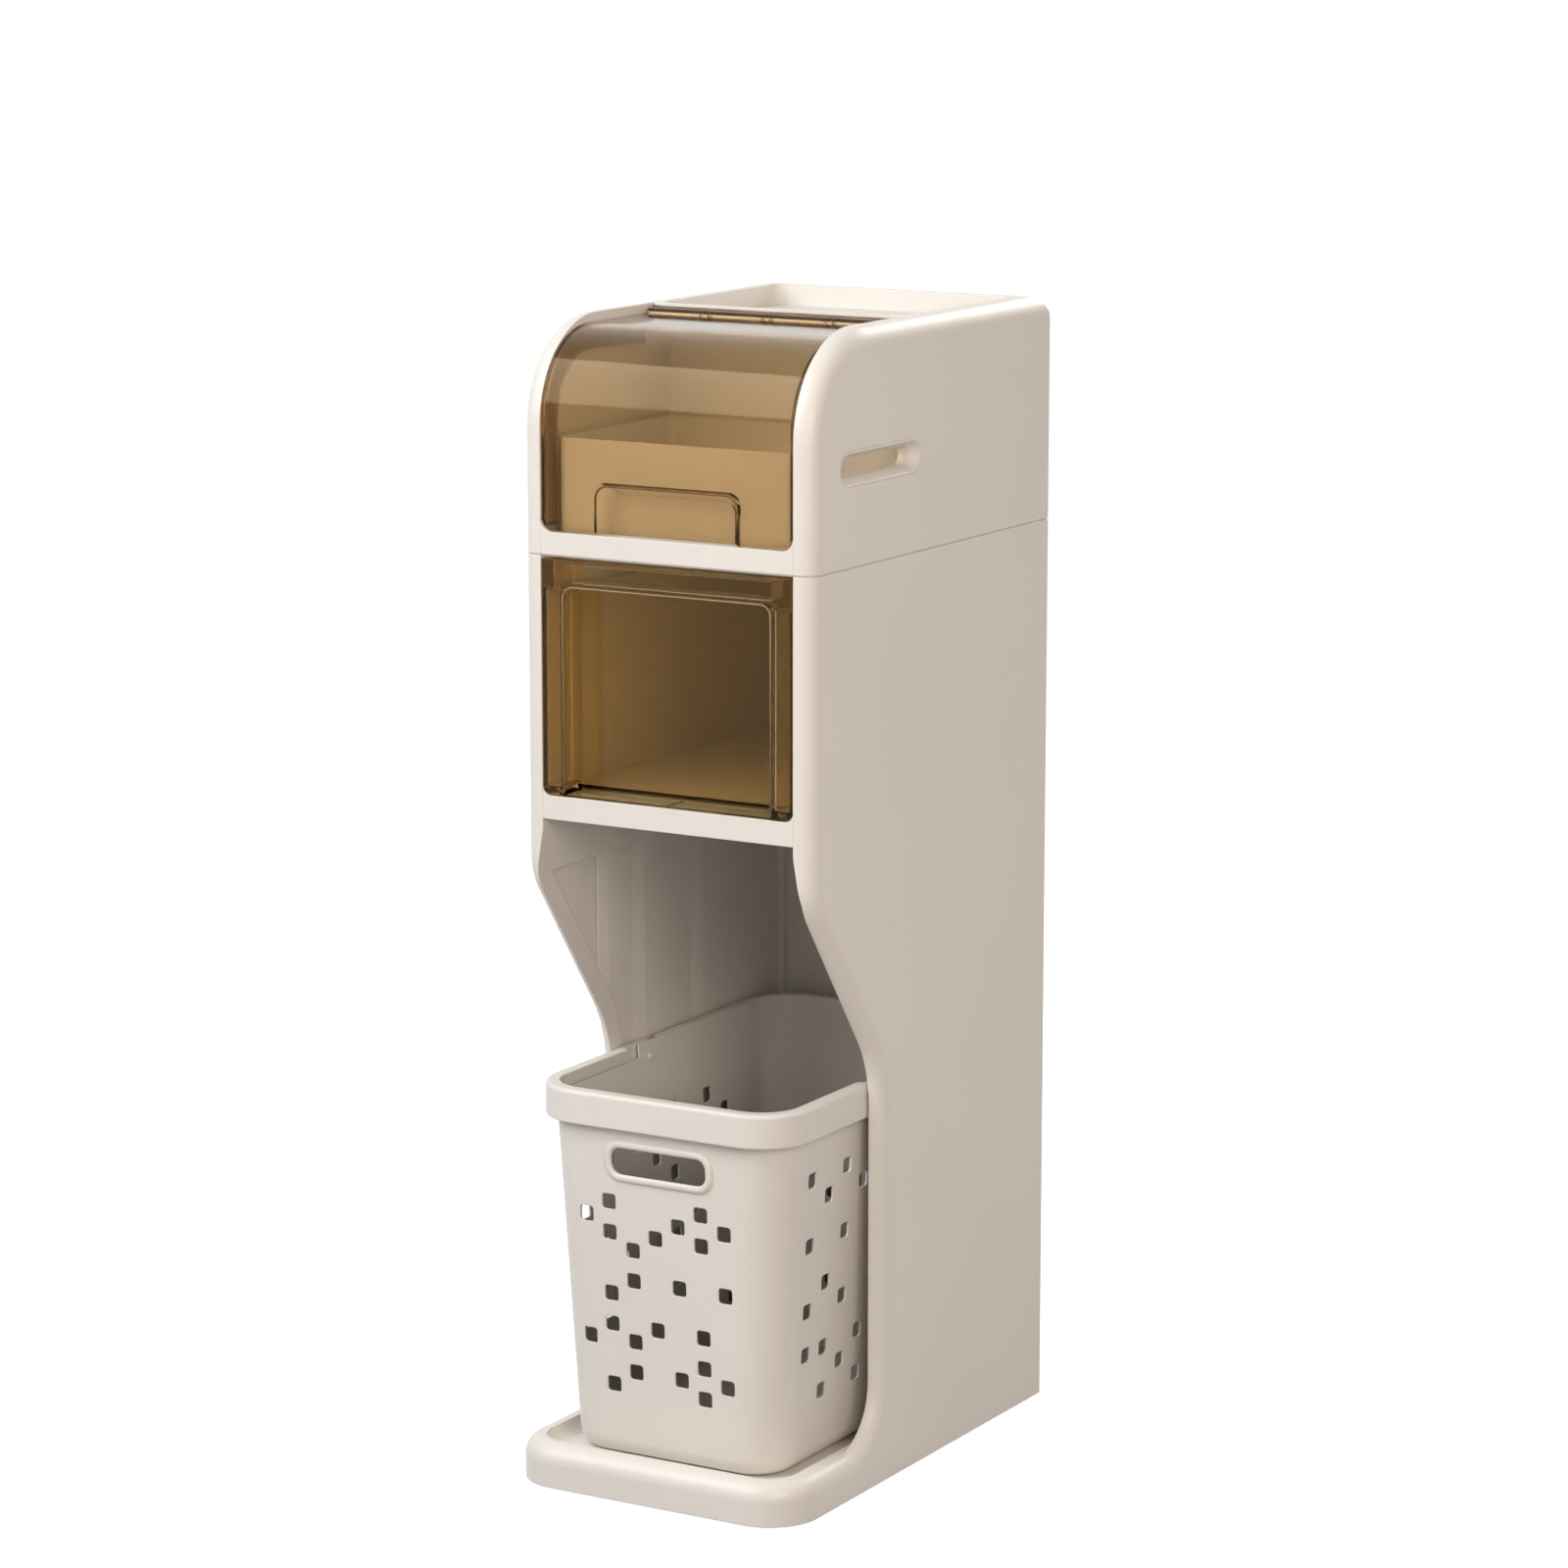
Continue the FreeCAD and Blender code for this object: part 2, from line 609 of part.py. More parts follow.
def corner_ear(side, level, radius):
    """Little concave corner that rounds an opening where a rail meets a side, in front view."""
    x = side * d.inner
    tip = x - side * radius
    middle = V3(tip + side * radius * math.sin(math.pi / 4), level + radius * (1 - math.cos(math.pi / 4)), 0)
    return [
        Part.LineSegment(V3(x, level, 0), V3(tip, level, 0)),
        Part.Arc(V3(tip, level, 0), middle, V3(x, level + radius, 0)),
        Part.LineSegment(V3(x, level + radius, 0), V3(x, level, 0)),
    ]


def cross_plate(label, section, ear_level, ear_radius):
    """Shelf made from one side-view section across the whole inner width, with rounded opening corners."""
    body = new_body(label)
    profile = sketch(body, label + "_section", "YZ_Plane", rounded(section), "0")
    pad(body, label + "_pad", profile, "2 * dim.inner", middle=True)
    for side, word in ((-1, "left"), (1, "right")):
        ear = sketch(body, "%s_%s_ear" % (label, word), "XZ_Plane", corner_ear(side, ear_level, ear_radius),
                     "-dim.front_y")
        pad(body, "%s_%s_ear_pad" % (label, word), ear, "dim.edge_wall", reverse=True)
    return body


def mid_shelf():
    """Shelf that carries the drawer: a thin plate with a deep front rail and ribs below."""
    front = d.front_y
    rear = d.back_y - d.plate
    low = d.shelf_top - d.rail_height
    section = [
        (front, low, 0),
        (front + d.plate, low, 0),
        (front + d.plate, d.shelf_top - d.plate, 0),
        (rear, d.shelf_top - d.plate, 0),
        (rear, d.shelf_top, 0),
        (front, d.shelf_top, 0),
    ]
    body = cross_plate("mid_shelf", section, d.shelf_top, d.drawer_ear)
    ribs = []
    for side in (-1, 1):
        x = side * d.shelf_rib_pitch / 2
        ribs += rounded(rectangle(x - d.rib_thick / 2, x + d.rib_thick / 2, front + d.plate, rear))
    lines = sketch(body, "shelf_rib_lines", "XY_Plane", ribs, "dim.shelf_top - dim.plate")
    pad(body, "shelf_ribs", lines, "dim.shelf_rib_depth", reverse=True)


def upper_deck():
    """Floor of the upper module with a front rail that the lid closes on."""
    front = d.front_y
    rear = d.back_y - d.plate
    low = d.seam_height
    groove = d.seam_groove
    section = [
        (front + groove, low, 0),
        (rear, low, 0),
        (rear, low + d.plate, 0),
        (front + d.plate, low + d.plate, 0),
        (front + d.plate, d.deck_rail_top - d.plate, 0),
        (front + d.rail_ledge, d.deck_rail_top - d.plate, 0),
        (front + d.rail_ledge, d.deck_rail_top, 0),
        (front, d.deck_rail_top, 0),
        (front, low + groove, 0),
        (front + groove, low + groove, 0),
    ]
    cross_plate("upper_deck", section, d.deck_rail_top, d.lid_ear)


def back_panels():
    """Lower back plate, and the upper one whose top edge rolls forward to the tray."""
    box("lower_back_panel", ("2 * dim.inner", "dim.plate", "dim.seam_height - dim.foot_gap"),
        ("-dim.inner", "dim.back_y - dim.plate", "dim.foot_gap"))
    rear = d.back_y
    top = d.total_height
    body = new_body("upper_back_panel")
    section = [
        (rear - d.plate, d.seam_height, 0),
        (rear, d.seam_height, 0),
        (rear, top, d.rear_round),
        (rear - d.rear_round, top, 0),
        (rear - d.rear_round, top - d.plate, 0),
        (rear - d.plate, top - d.plate, d.rear_round - d.plate),
    ]
    profile = sketch(body, "upper_back_section", "YZ_Plane", rounded(section), "0")
    pad(body, "upper_back_pad", profile, "2 * dim.inner", middle=True)


def top_tray():
    """Shallow tray behind the lid, with a rim all round."""
    body = new_body("top_tray")
    rear = d.back_y - d.rear_round
    outline = rectangle(-d.inner, d.inner, d.tray_y, rear)
    profile = sketch(body, "tray_outline", "XY_Plane", rounded(outline), "dim.tray_floor - dim.plate")
    pad(body, "tray_pad", profile, "dim.tray_recess + dim.plate")
    well = [(a, b, d.tray_round) for a, b, radius in inset(outline, d.tray_wall)]
    well_lines = sketch(body, "tray_well_outline", "XY_Plane", rounded(well), "dim.total_height")
    pocket(body, "tray_well", well_lines, "dim.tray_recess")


def compartment_back():
    """Wall behind the paper compartment, between the deck and the tray."""
    tall = "dim.tray_floor - 2 * dim.plate - dim.seam_height"
    box("compartment_back", ("2 * dim.inner", "dim.plate", tall),
        ("-dim.inner", "dim.divider_y", "dim.seam_height + dim.plate"))


def lid_section(depth):
    """Side-view band of the lid: up the front, round the curve and back along the top."""
    front = d.front_y + d.lid_front_set
    top = d.total_height - d.lid_drop
    low = d.deck_rail_top + d.lid_rest_gap
    rear = d.barrel_y - d.barrel_radius - d.barrel_gap
    bend = d.lid_bend
    return [
        (front, low, 0),
        (front + depth, low, 0),
        (front + depth, top - depth, bend - depth),
        (rear, top - depth, 0),
        (rear, top, 0),
        (front, top, bend),
    ]


def scoop_outline(grow):
    """Front-view outline of the finger recess, open at the lid's lower edge."""
    low = d.deck_rail_top + d.lid_rest_gap
    half = d.scoop_width / 2 + grow
    high = low + d.scoop_height + grow
    return [(-half, low, 0), (half, low, 0), (half, high, d.scoop_round), (-half, high, d.scoop_round)]


def flip_lid():
    """Clear curved lid with side skirts, a finger recess and the long hinge knuckles."""
    half = d.inner - d.lid_side_gap
    shell = side_slab(lid_section(d.lid_wall), -half, half)
    for side in (-1, 1):
        low, high = sorted((side * half, side * (half - d.lid_wall)))
        shell = shell.fuse(side_slab(lid_section(d.skirt_depth), low, high))
    front = d.front_y + d.lid_front_set
    floor = front + d.scoop_depth
    step = front + d.lid_wall
    outer = scoop_block(step - d.hair, floor + d.lid_wall, d.lid_wall)
    hollow = scoop_block(step - d.hair, floor, 0)
    mouth = front_slab(scoop_outline(0), front - d.hair, step)
    shell = shell.fuse(outer).cut(hollow).cut(mouth)
    top = d.total_height - d.lid_drop
    low = d.deck_rail_top + d.lid_rest_gap
    face = [(-half, low, d.lid_ear), (half, low, d.lid_ear), (half, top, 0), (-half, top, 0)]
    shell = shell.common(front_slab(face, front, d.barrel_y))
    rear = d.barrel_y - d.barrel_radius - d.barrel_gap
    arm = rectangle(rear - d.cut_past, d.barrel_y, top - d.lid_wall, top)
    for start in knuckle_starts():
        shell = shell.fuse(side_slab(arm, start, start + d.knuckle_long))
        shell = shell.fuse(barrel(d.barrel_radius, start, start + d.knuckle_long))
    shell = shell.cut(barrel(d.pin_radius + d.pin_play, -d.half, d.half))
    feature("flip_lid", shell)


def scoop_block(y0, y1, grow):
    """Finger recess as a block whose sides slope in towards the back."""
    front_face = face_of(scoop_outline(grow), FRONT_VIEW, -y0)
    back_face = face_of(scoop_outline(grow - d.scoop_slope), FRONT_VIEW, -y1)
    return Part.makeLoft([front_face.OuterWire, back_face.OuterWire], True, True)


def knuckle_starts():
    """Left ends of the lid's knuckles, evenly spaced about the middle."""
    count = int(d.knuckle_count)
    span = (count - 1) * d.knuckle_pitch + d.knuckle_long
    return [number * d.knuckle_pitch - span / 2 for number in range(count)]


def barrel(radius, x0, x1):
    """Round of the hinge between two widths."""
    return Part.makeCylinder(radius, x1 - x0, V3(x0, d.barrel_y, d.barrel_z), V3(1, 0, 0))


def lid_hinge_strip():
    """Strip on the front of the tray with the short knuckles between the lid's long ones."""
    half = d.inner - d.lid_side_gap
    low = d.barrel_z - d.strip_height / 2
    strip = side_slab(rectangle(d.strip_y, d.tray_y, low, low + d.strip_height), -half, half)
    arm = rectangle(d.barrel_y, d.tray_y, d.barrel_z - d.lid_wall, d.barrel_z + d.lid_wall)
    for start in knuckle_starts()[:-1]:
        x0 = start + d.knuckle_long + d.knuckle_gap
        x1 = start + d.knuckle_pitch - d.knuckle_gap
        strip = strip.fuse(side_slab(arm, x0, x1)).fuse(barrel(d.barrel_radius, x0, x1))
    feature("lid_hinge_strip", strip.cut(barrel(d.pin_radius + d.pin_play, -d.half, d.half)))


def lid_hinge_pin():
    """Steel rod through all the knuckles."""
    rod("lid_hinge_pin", "dim.pin_radius", "2 * dim.inner - 2 * dim.lid_side_gap",
        ("-dim.inner + dim.lid_side_gap", "dim.barrel_y", "dim.barrel_z"), along_x=True)


def paper_bin():
    """Open box behind the lid, notched on the right where the paper leaves."""
    half = "(dim.inner - dim.bin_side_gap)"
    floor = "dim.seam_height + dim.plate"
    outer = box("bin_outer", ("2 * %s" % half, "dim.bin_length", "dim.bin_height"),
                ("-%s" % half, "dim.front_y + dim.bin_front", floor))
    inner = box("bin_inner", ("2 * %s - 2 * dim.bin_wall" % half, "dim.bin_length - 2 * dim.bin_wall",
                              "dim.bin_height"),
                ("-%s + dim.bin_wall" % half, "dim.front_y + dim.bin_front + dim.bin_wall",
                 floor + " + dim.bin_wall"))
    notch = box("bin_notch", ("dim.bin_wall + 2 * dim.cut_past", "dim.slot_length + 2 * dim.bin_notch_margin",
                              "dim.bin_height"),
                ("%s - dim.bin_wall - dim.cut_past" % half,
                 "dim.front_y + dim.slot_back - dim.slot_length / 2 - dim.bin_notch_margin",
                 floor + " + dim.bin_height - dim.bin_notch_drop"))
    doc.recompute()
    soft = doc.addObject("Part::Fillet", "bin_outer_round")
    soft.Base = outer
    upright = [i + 1 for i, edge in enumerate(outer.Shape.Edges) if edge.BoundBox.ZLength > 1]
    soft.Edges = [(number, d.bin_round, d.bin_round) for number in upright]
    core = doc.addObject("Part::Fillet", "bin_inner_round")
    core.Base = inner
    core_round = d.bin_round - d.bin_wall
    upright = [i + 1 for i, edge in enumerate(inner.Shape.Edges) if edge.BoundBox.ZLength > 1]
    core.Edges = [(number, core_round, core_round) for number in upright]
    cut("paper_bin", cut("bin_shell", soft, core), notch)


def drawer_front():
    """Clear drawer front: pillars and a top bar round a deep recess that is the finger grip."""
    body = new_body("drawer_front")
    half = d.inner - d.drawer_side_gap
    low = d.shelf_top + d.drawer_rest_gap
    high = d.seam_height - d.drawer_top_gap
    outline = [(-half, low, d.drawer_ear), (half, low, d.drawer_ear), (half, high, 0), (-half, high, 0)]
    profile = sketch(body, "front_outline", "XZ_Plane", rounded(outline), "-dim.front_y")
    pad(body, "front_pad", profile, "dim.front_depth", reverse=True)
    reach = half - d.pillar_width
    grip = [
        (-reach, low - d.cut_past, 0),
        (reach, low - d.cut_past, 0),
        (reach, high - d.top_bar, d.recess_round),
        (-reach, high - d.top_bar, d.recess_round),
    ]
    pocket(body, "recess", sketch(body, "recess_outline", "XZ_Plane", rounded(grip), "-dim.front_y"),
           "dim.recess_depth")
    wall = d.front_depth - d.recess_depth
    cores = []
    for side in (-1, 1):
        x0, x1 = sorted((side * (half - wall), side * (reach + wall)))
        cores += rounded(rectangle(x0, x1, low + d.drawer_ear, high - d.top_bar - wall))
    cores += rounded(rectangle(-reach, reach, high - d.top_bar + wall, high - wall))
    core_lines = sketch(body, "core_lines", "XZ_Plane", cores, "-dim.front_y - dim.front_depth")
    pocket(body, "cores", core_lines, "dim.recess_depth", reverse=True)


def drawer_box():
    """Clear open box behind the drawer front, running on two skids."""
    half = "(dim.inner - dim.drawer_side_gap - dim.box_inset)"
    start = "dim.front_y + dim.front_depth"
    rest = "dim.shelf_top + dim.drawer_rest_gap"
    outer = box("drawer_outer", ("2 * %s" % half, "dim.drawer_length", "dim.drawer_side_height"),
                ("-%s" % half, start, rest + " + dim.skid_height"))
    inside = "2 * %s - 2 * dim.drawer_wall" % half
    inner = box("drawer_inner", (inside, "dim.drawer_length", "dim.drawer_side_height"),
                ("-%s + dim.drawer_wall" % half, start + " - dim.drawer_wall",
                 rest + " + dim.skid_height + dim.drawer_wall"))
    skid = ("dim.skid_width", "dim.drawer_length", "dim.skid_height")
    skids = [
        box("skid_left", skid, ("-dim.inner + dim.drawer_ear", start, rest)),
        box("skid_right", skid, ("dim.inner - dim.drawer_ear - dim.skid_width", start, rest)),
    ]
    join("drawer_box", [cut("drawer_shell", outer, inner)] + skids)


def basket_outline(shift):
    """Plan outline of the basket at its rim, moved in by a distance (out where negative)."""
    front = d.front_y - d.basket_front
    rim = rectangle(-d.basket_half, d.basket_half, front, front + d.basket_length, d.basket_corner)
    return inset(rim, shift)


def taper(z):
    """How far the basket has drawn in at a height."""
    bottom = d.base_floor + d.basket_rest_gap
    return d.basket_draft * (d.basket_top - z) / (d.basket_top - bottom)


def basket_tub(shift, low):
    """Tapered tub up to the rim, moved in by a wall, with round upright corners and a turned-under base."""
    front = d.front_y - d.basket_front
    near = shift + taper(low)
    low_x = d.basket_half - near
    top_x = d.basket_half - shift
    rear = front + d.basket_length
    tub = Part.makeWedge(-low_x, low, near - rear, shift - rear, -top_x,
                         low_x, d.basket_top, -front - near, -front - shift, top_x)
    tub.rotate(V3(0, 0, 0), V3(1, 0, 0), 90)
    upright = [edge for edge in tub.Edges if edge.BoundBox.ZLength > 1]
    tub = tub.makeFillet(d.basket_corner - shift, upright)
    return tub.makeChamfer(d.basket_turn, [edge for edge in tub.Edges if on_plane(edge, 2, low)])


def square_hole(a, b):
    """Square about a point."""
    reach = d.hole_size / 2
    return rectangle(a - reach, a + reach, b - reach, b + reach)


def basket_holes():
    """Scattered holes: one pattern for the front and the back, one for both long sides."""
    front = d.front_y - d.basket_front
    rear = front + d.basket_length
    depth = d.basket_draft + d.basket_wall + d.cut_past
    tools = []
    for column, rows in enumerate(FRONT_HOLES):
        x = (column - (len(FRONT_HOLES) - 1) / 2) * d.front_pitch + d.front_shift
        for row in rows:
            hole = square_hole(x, d.front_row_top - row * d.front_row)
            tools.append(front_slab(hole, front - d.cut_past, front + depth))
            tools.append(front_slab(hole, rear - depth, rear + d.cut_past))
    room = d.basket_length - d.side_first - d.basket_corner - d.basket_front - d.hole_size
    for column in range(int(room / d.side_pitch) + 1):
        y = d.front_y + d.side_first + column * d.side_pitch
        for row in SIDE_HOLES[column % len(SIDE_HOLES)]:
            hole = square_hole(y, d.side_row_top - row * d.side_row)
            tools.append(side_slab(hole, d.basket_half - depth, d.basket_half + d.cut_past))
            tools.append(side_slab(hole, -d.basket_half - d.cut_past, -d.basket_half + depth))
    return tools


def grip_outline(grow):
    """Front view of the hand hole in the basket."""
    half = d.grip_width / 2 + grow
    tall = d.grip_height / 2 + grow
    return rectangle(-half, half, d.grip_centre - tall, d.grip_centre + tall, d.grip_round + grow)


def basket():
    """Perforated laundry basket with a front grip, a fixed rim behind and a low wall under the handle."""
    low = d.base_floor + d.basket_rest_gap
    floor = low + d.basket_wall
    front = d.front_y - d.basket_front
    pivot_y = d.front_y + d.pivot_back
    tub = basket_tub(0, low)
    lip_front = front + taper(d.grip_centre) - d.grip_lip_rise
    tub = tub.fuse(front_slab(grip_outline(d.grip_lip), lip_front, front + d.basket_draft))
    rim_low = d.basket_top - d.rear_rim_height
    rim = top_slab(basket_outline(-d.rear_rim_out), rim_low, d.basket_top)
    behind = rectangle(-d.half, d.half, pivot_y + d.rear_rim_start, d.back_y)
    tub = tub.fuse(rim.common(top_slab(behind, rim_low, d.basket_top)))
    tub = tub.cut(basket_tub(d.basket_wall, floor))
    low_wall = d.basket_top - d.handle_lip_drop - d.basket_rest_gap
    ahead = rectangle(-d.half, d.half, d.base_y, pivot_y - d.pivot_step)
    tub = tub.cut(top_slab(ahead, low_wall, d.basket_top + d.cut_past))
    grip_depth = d.basket_draft + d.basket_wall
    tools = basket_holes() + [front_slab(grip_outline(0), lip_front - d.cut_past, front + grip_depth)]
    tools.append(pivot_rod(d.pivot_pin + d.pin_play, -d.half, d.half))
    feature("basket", tub.cut(Part.makeCompound(tools)))


def pivot_rod(radius, x0, x1):
    """Round along the handle's pivot line."""
    height = d.basket_top - d.handle_height / 2
    return Part.makeCylinder(radius, x1 - x0, V3(x0, d.front_y + d.pivot_back, height), V3(1, 0, 0))


def basket_handle():
    """U-shaped carrying handle that folds down over the front rim and turns on two side pins."""
    inner_shift = -d.handle_gap
    outer_shift = -d.handle_gap - d.handle_thick
    bottom = d.basket_top - d.handle_height
    end_round = d.handle_height / 2
    pivot_y = d.front_y + d.pivot_back
    band = top_slab(basket_outline(outer_shift), bottom, d.basket_top)
    band = band.cut(top_slab(basket_outline(inner_shift), bottom, d.basket_top))
    lip = top_slab(basket_outline(inner_shift - d.cut_past), d.basket_top - d.handle_lip_drop, d.basket_top)
    lip = lip.cut(top_slab(basket_outline(inner_shift + d.handle_lip_reach), bottom, d.basket_top))
    ahead = rectangle(-d.half, d.half, d.base_y, pivot_y - d.handle_lip_end)
    lip = lip.common(top_slab(ahead, bottom, d.basket_top))
    reach = [
        (d.base_y, bottom, 0),
        (pivot_y + end_round, bottom, end_round - d.hair),
        (pivot_y + end_round, d.basket_top, end_round - d.hair),
        (d.base_y, d.basket_top, 0),
    ]
    handle = band.fuse(lip).common(side_slab(reach, -d.half, d.half))
    feature("basket_handle", handle.cut(pivot_rod(d.pivot_pin + d.pin_play, -d.half, d.half)))


def handle_pins():
    """Two pins that hold the handle to the basket walls."""
    outer = d.basket_half + d.handle_gap + d.handle_thick
    wall_inside = d.basket_half - taper(d.basket_top - d.handle_height / 2) - d.basket_wall
    end = wall_inside - d.pin_proud
    pins = []
    for side in (-1, 1):
        pins.append(pivot_rod(d.pivot_pin, *sorted((side * end, side * outer))))
    feature("handle_pins", Part.makeCompound(pins))


def module_pegs():
    """Four pegs that line the upper module up on the lower one."""
    pegs = []
    for number, (sx, y) in enumerate((sx, y) for sx in ("-", "") for y in
                                     ("dim.front_y + dim.peg_inset", "dim.back_y - dim.peg_inset")):
        x = sx + "(dim.half - dim.side_thickness / 2) - dim.peg_thick / 2"
        pegs.append(box("peg_%d" % number, ("dim.peg_thick", "dim.peg_wide", "dim.peg_length"),
                        (x, y + " - dim.peg_wide / 2", "dim.seam_height - dim.peg_length / 2")))
    join("module_pegs", pegs)


NODES = (
    "base_tray", "foot_pads", "lower_left_side", "lower_right_side", "bay_left_liner", "bay_right_liner",
    "drawer_left_liner", "drawer_right_liner", "lower_back_panel", "mid_shelf", "drawer_front",
    "drawer_box", "module_pegs", "upper_deck", "upper_left_side", "upper_right_side", "upper_left_liner",
    "upper_right_liner", "upper_back_panel", "top_tray", "compartment_back", "paper_slot_bezel",
    "paper_bin", "flip_lid", "lid_hinge_strip", "lid_hinge_pin", "basket", "basket_handle", "handle_pins",
)


def build():
    """Make every sub-part in the document."""
    base_tray()
    foot_pads()
    lower_sides()
    back_panels()
    mid_shelf()
    drawer_front()
    drawer_box()
    module_pegs()
    upper_deck()
    upper_sides()
    top_tray()
    compartment_back()
    paper_slot_bezel()
    paper_bin()
    flip_lid()
    lid_hinge_strip()
    lid_hinge_pin()
    basket()
    basket_handle()
    handle_pins()
    doc.recompute()


def write():
    """Check the whole document, then write one file per sub-part."""
    for item in doc.Objects:
        if "Invalid" in item.State or "Error" in item.State:
            raise RuntimeError("failed: " + item.Label)
    os.makedirs("parts", exist_ok=True)
    for label in NODES:
        shape = doc.getObjectsByLabel(label)[0].Shape
        if shape.isNull() or not shape.isValid():
            raise RuntimeError("bad shape: " + label)
        extent = shape.BoundBox
        print("%-18s solids %d  volume %10.0f  x %.1f..%.1f  y %.1f..%.1f  z %.1f..%.1f" % (
            label, len(shape.Solids), shape.Volume, extent.XMin, extent.XMax, extent.YMin, extent.YMax,
            extent.ZMin, extent.ZMax))
        shape.exportStep("parts/%s.step" % label)


build()
write()
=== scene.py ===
# %% [markdown]
# This lesson dresses a slim bathroom organizer: a swept white body with a clear amber lid, a clear amber
# drawer and a loose laundry basket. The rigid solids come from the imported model, so every piece made here
# is placed in that same frame, in metres, with X across, Y from front to back and Z up.

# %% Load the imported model
import json
import math

import bmesh
import bpy
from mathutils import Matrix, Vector


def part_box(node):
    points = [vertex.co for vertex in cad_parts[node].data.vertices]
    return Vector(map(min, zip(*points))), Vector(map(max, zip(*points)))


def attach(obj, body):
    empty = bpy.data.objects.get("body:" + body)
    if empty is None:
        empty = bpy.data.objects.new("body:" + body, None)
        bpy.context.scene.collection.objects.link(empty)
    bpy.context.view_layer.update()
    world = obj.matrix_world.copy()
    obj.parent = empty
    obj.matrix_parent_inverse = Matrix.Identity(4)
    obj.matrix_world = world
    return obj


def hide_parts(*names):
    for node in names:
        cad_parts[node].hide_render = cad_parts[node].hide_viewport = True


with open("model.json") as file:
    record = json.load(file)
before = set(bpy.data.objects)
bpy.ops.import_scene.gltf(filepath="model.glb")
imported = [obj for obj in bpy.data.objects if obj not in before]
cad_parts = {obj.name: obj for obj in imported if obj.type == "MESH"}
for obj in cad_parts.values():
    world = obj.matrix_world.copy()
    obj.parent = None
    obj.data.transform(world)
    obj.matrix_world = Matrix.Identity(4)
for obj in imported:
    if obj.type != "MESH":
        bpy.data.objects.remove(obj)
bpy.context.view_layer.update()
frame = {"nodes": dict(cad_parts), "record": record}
nodes = frame["nodes"]

# %% [markdown]
# The camera stands where the picture was taken from: to the right of the front, a little above the top,
# and far away. A long lens keeps the upright edges almost parallel. The place and the lens were worked out
# from the edges of the body, so nothing has to be shifted afterwards.

# %% The camera
EYE = Vector((1.9277, -3.2862, 1.2482))
LINE_OF_SIGHT = Vector((-0.4962, 0.8476, -0.1879))
SENSOR_WIDE = 36
FOCAL_LENGTH = 116.74


def new_object(name, data):
    """Object for a camera, a lamp or a mesh, linked into the scene."""
    thing = bpy.data.objects.new(name, data)
    bpy.context.scene.collection.objects.link(thing)
    return thing


def look_along(thing, direction):
    """Turn a camera or a lamp so that it looks along a direction."""
    thing.rotation_mode = "QUATERNION"
    thing.rotation_quaternion = direction.to_track_quat("-Z", "Y")


lens = bpy.data.cameras.new("camera")
lens.sensor_width = SENSOR_WIDE
lens.lens = FOCAL_LENGTH
camera = new_object("camera", lens)
camera.location = EYE
look_along(camera, LINE_OF_SIGHT)
bpy.context.scene.camera = camera
bpy.context.scene.view_settings.view_transform = "Standard"
print("camera", round(EYE.length, 2), "m away")

# %% [markdown]
# A cut-out picture has a white ground. A white world would also pour white light on the object, so the
# world is white only for the rays that the camera, a mirror or clear plastic sends out. All other rays
# meet a weaker, warm glow, which is the light that a pale room throws back.

# %% White world
GLOW_TINT = (1.0, 0.92, 0.845, 1)
GLOW_POWER = 0.39
WHITE = (1, 1, 1, 1)


def seen_directly(tree):
    """One for rays from the camera, a reflection or clear plastic, and zero for the rest."""
    path = tree.nodes.new("ShaderNodeLightPath")
    seen = path.outputs["Is Camera Ray"]
    for kind in ("Is Glossy Ray", "Is Transmission Ray"):
        either = tree.nodes.new("ShaderNodeMath")
        either.operation = "MAXIMUM"
        tree.links.new(seen, either.inputs[0])
        tree.links.new(path.outputs[kind], either.inputs[1])
        seen = either.outputs[0]
    return seen


def backdrop(tree, tint, power):
    """Background shader of one colour."""
    shader = tree.nodes.new("ShaderNodeBackground")
    shader.inputs["Color"].default_value = tint
    shader.inputs["Strength"].default_value = power
    return shader.outputs[0]


def white_world():
    """Soft warm light from all round, with a white backdrop."""
    world = bpy.data.worlds.new("studio")
    world.use_nodes = True
    tree = world.node_tree
    tree.nodes.clear()
    choose = tree.nodes.new("ShaderNodeMixShader")
    end = tree.nodes.new("ShaderNodeOutputWorld")
    tree.links.new(seen_directly(tree), choose.inputs[0])
    tree.links.new(backdrop(tree, GLOW_TINT, GLOW_POWER), choose.inputs[1])
    tree.links.new(backdrop(tree, WHITE, 1.0), choose.inputs[2])
    tree.links.new(choose.outputs[0], end.inputs["Surface"])
    bpy.context.scene.world = world


white_world()
print("world", bpy.context.scene.world.name)

# %% [markdown]
# The floor uses the same trick. Its own colour is a plain grey, so it throws little light up at the object,
# and a glow that only direct rays see lifts it to white. Because the glow is added on top, the soft shadow
# under the object is still there.

# %% White floor
FLOOR_TONE = (0.3, 0.295, 0.29, 1)
FLOOR_GLOW = 0.9
FLOOR_REACH = 60


def start_finish(name):
    """New material with its tree and its main shader."""
    material = bpy.data.materials.new(name)
    material.use_nodes = True
    return material, material.node_tree, material.node_tree.nodes["Principled BSDF"]


def floor_white():
    """Matte grey that direct rays see as white."""
    material, tree, shader = start_finish("floor_white")
    shader.inputs["Base Color"].default_value = FLOOR_TONE
    shader.inputs["Roughness"].default_value = 0.95
    shader.inputs["Specular IOR Level"].default_value = 0
    shader.inputs["Emission Color"].default_value = WHITE
    lift = tree.nodes.new("ShaderNodeMath")
    lift.operation = "MULTIPLY"
    lift.inputs[1].default_value = FLOOR_GLOW
    tree.links.new(seen_directly(tree), lift.inputs[0])
    tree.links.new(lift.outputs[0], shader.inputs["Emission Strength"])
    return material


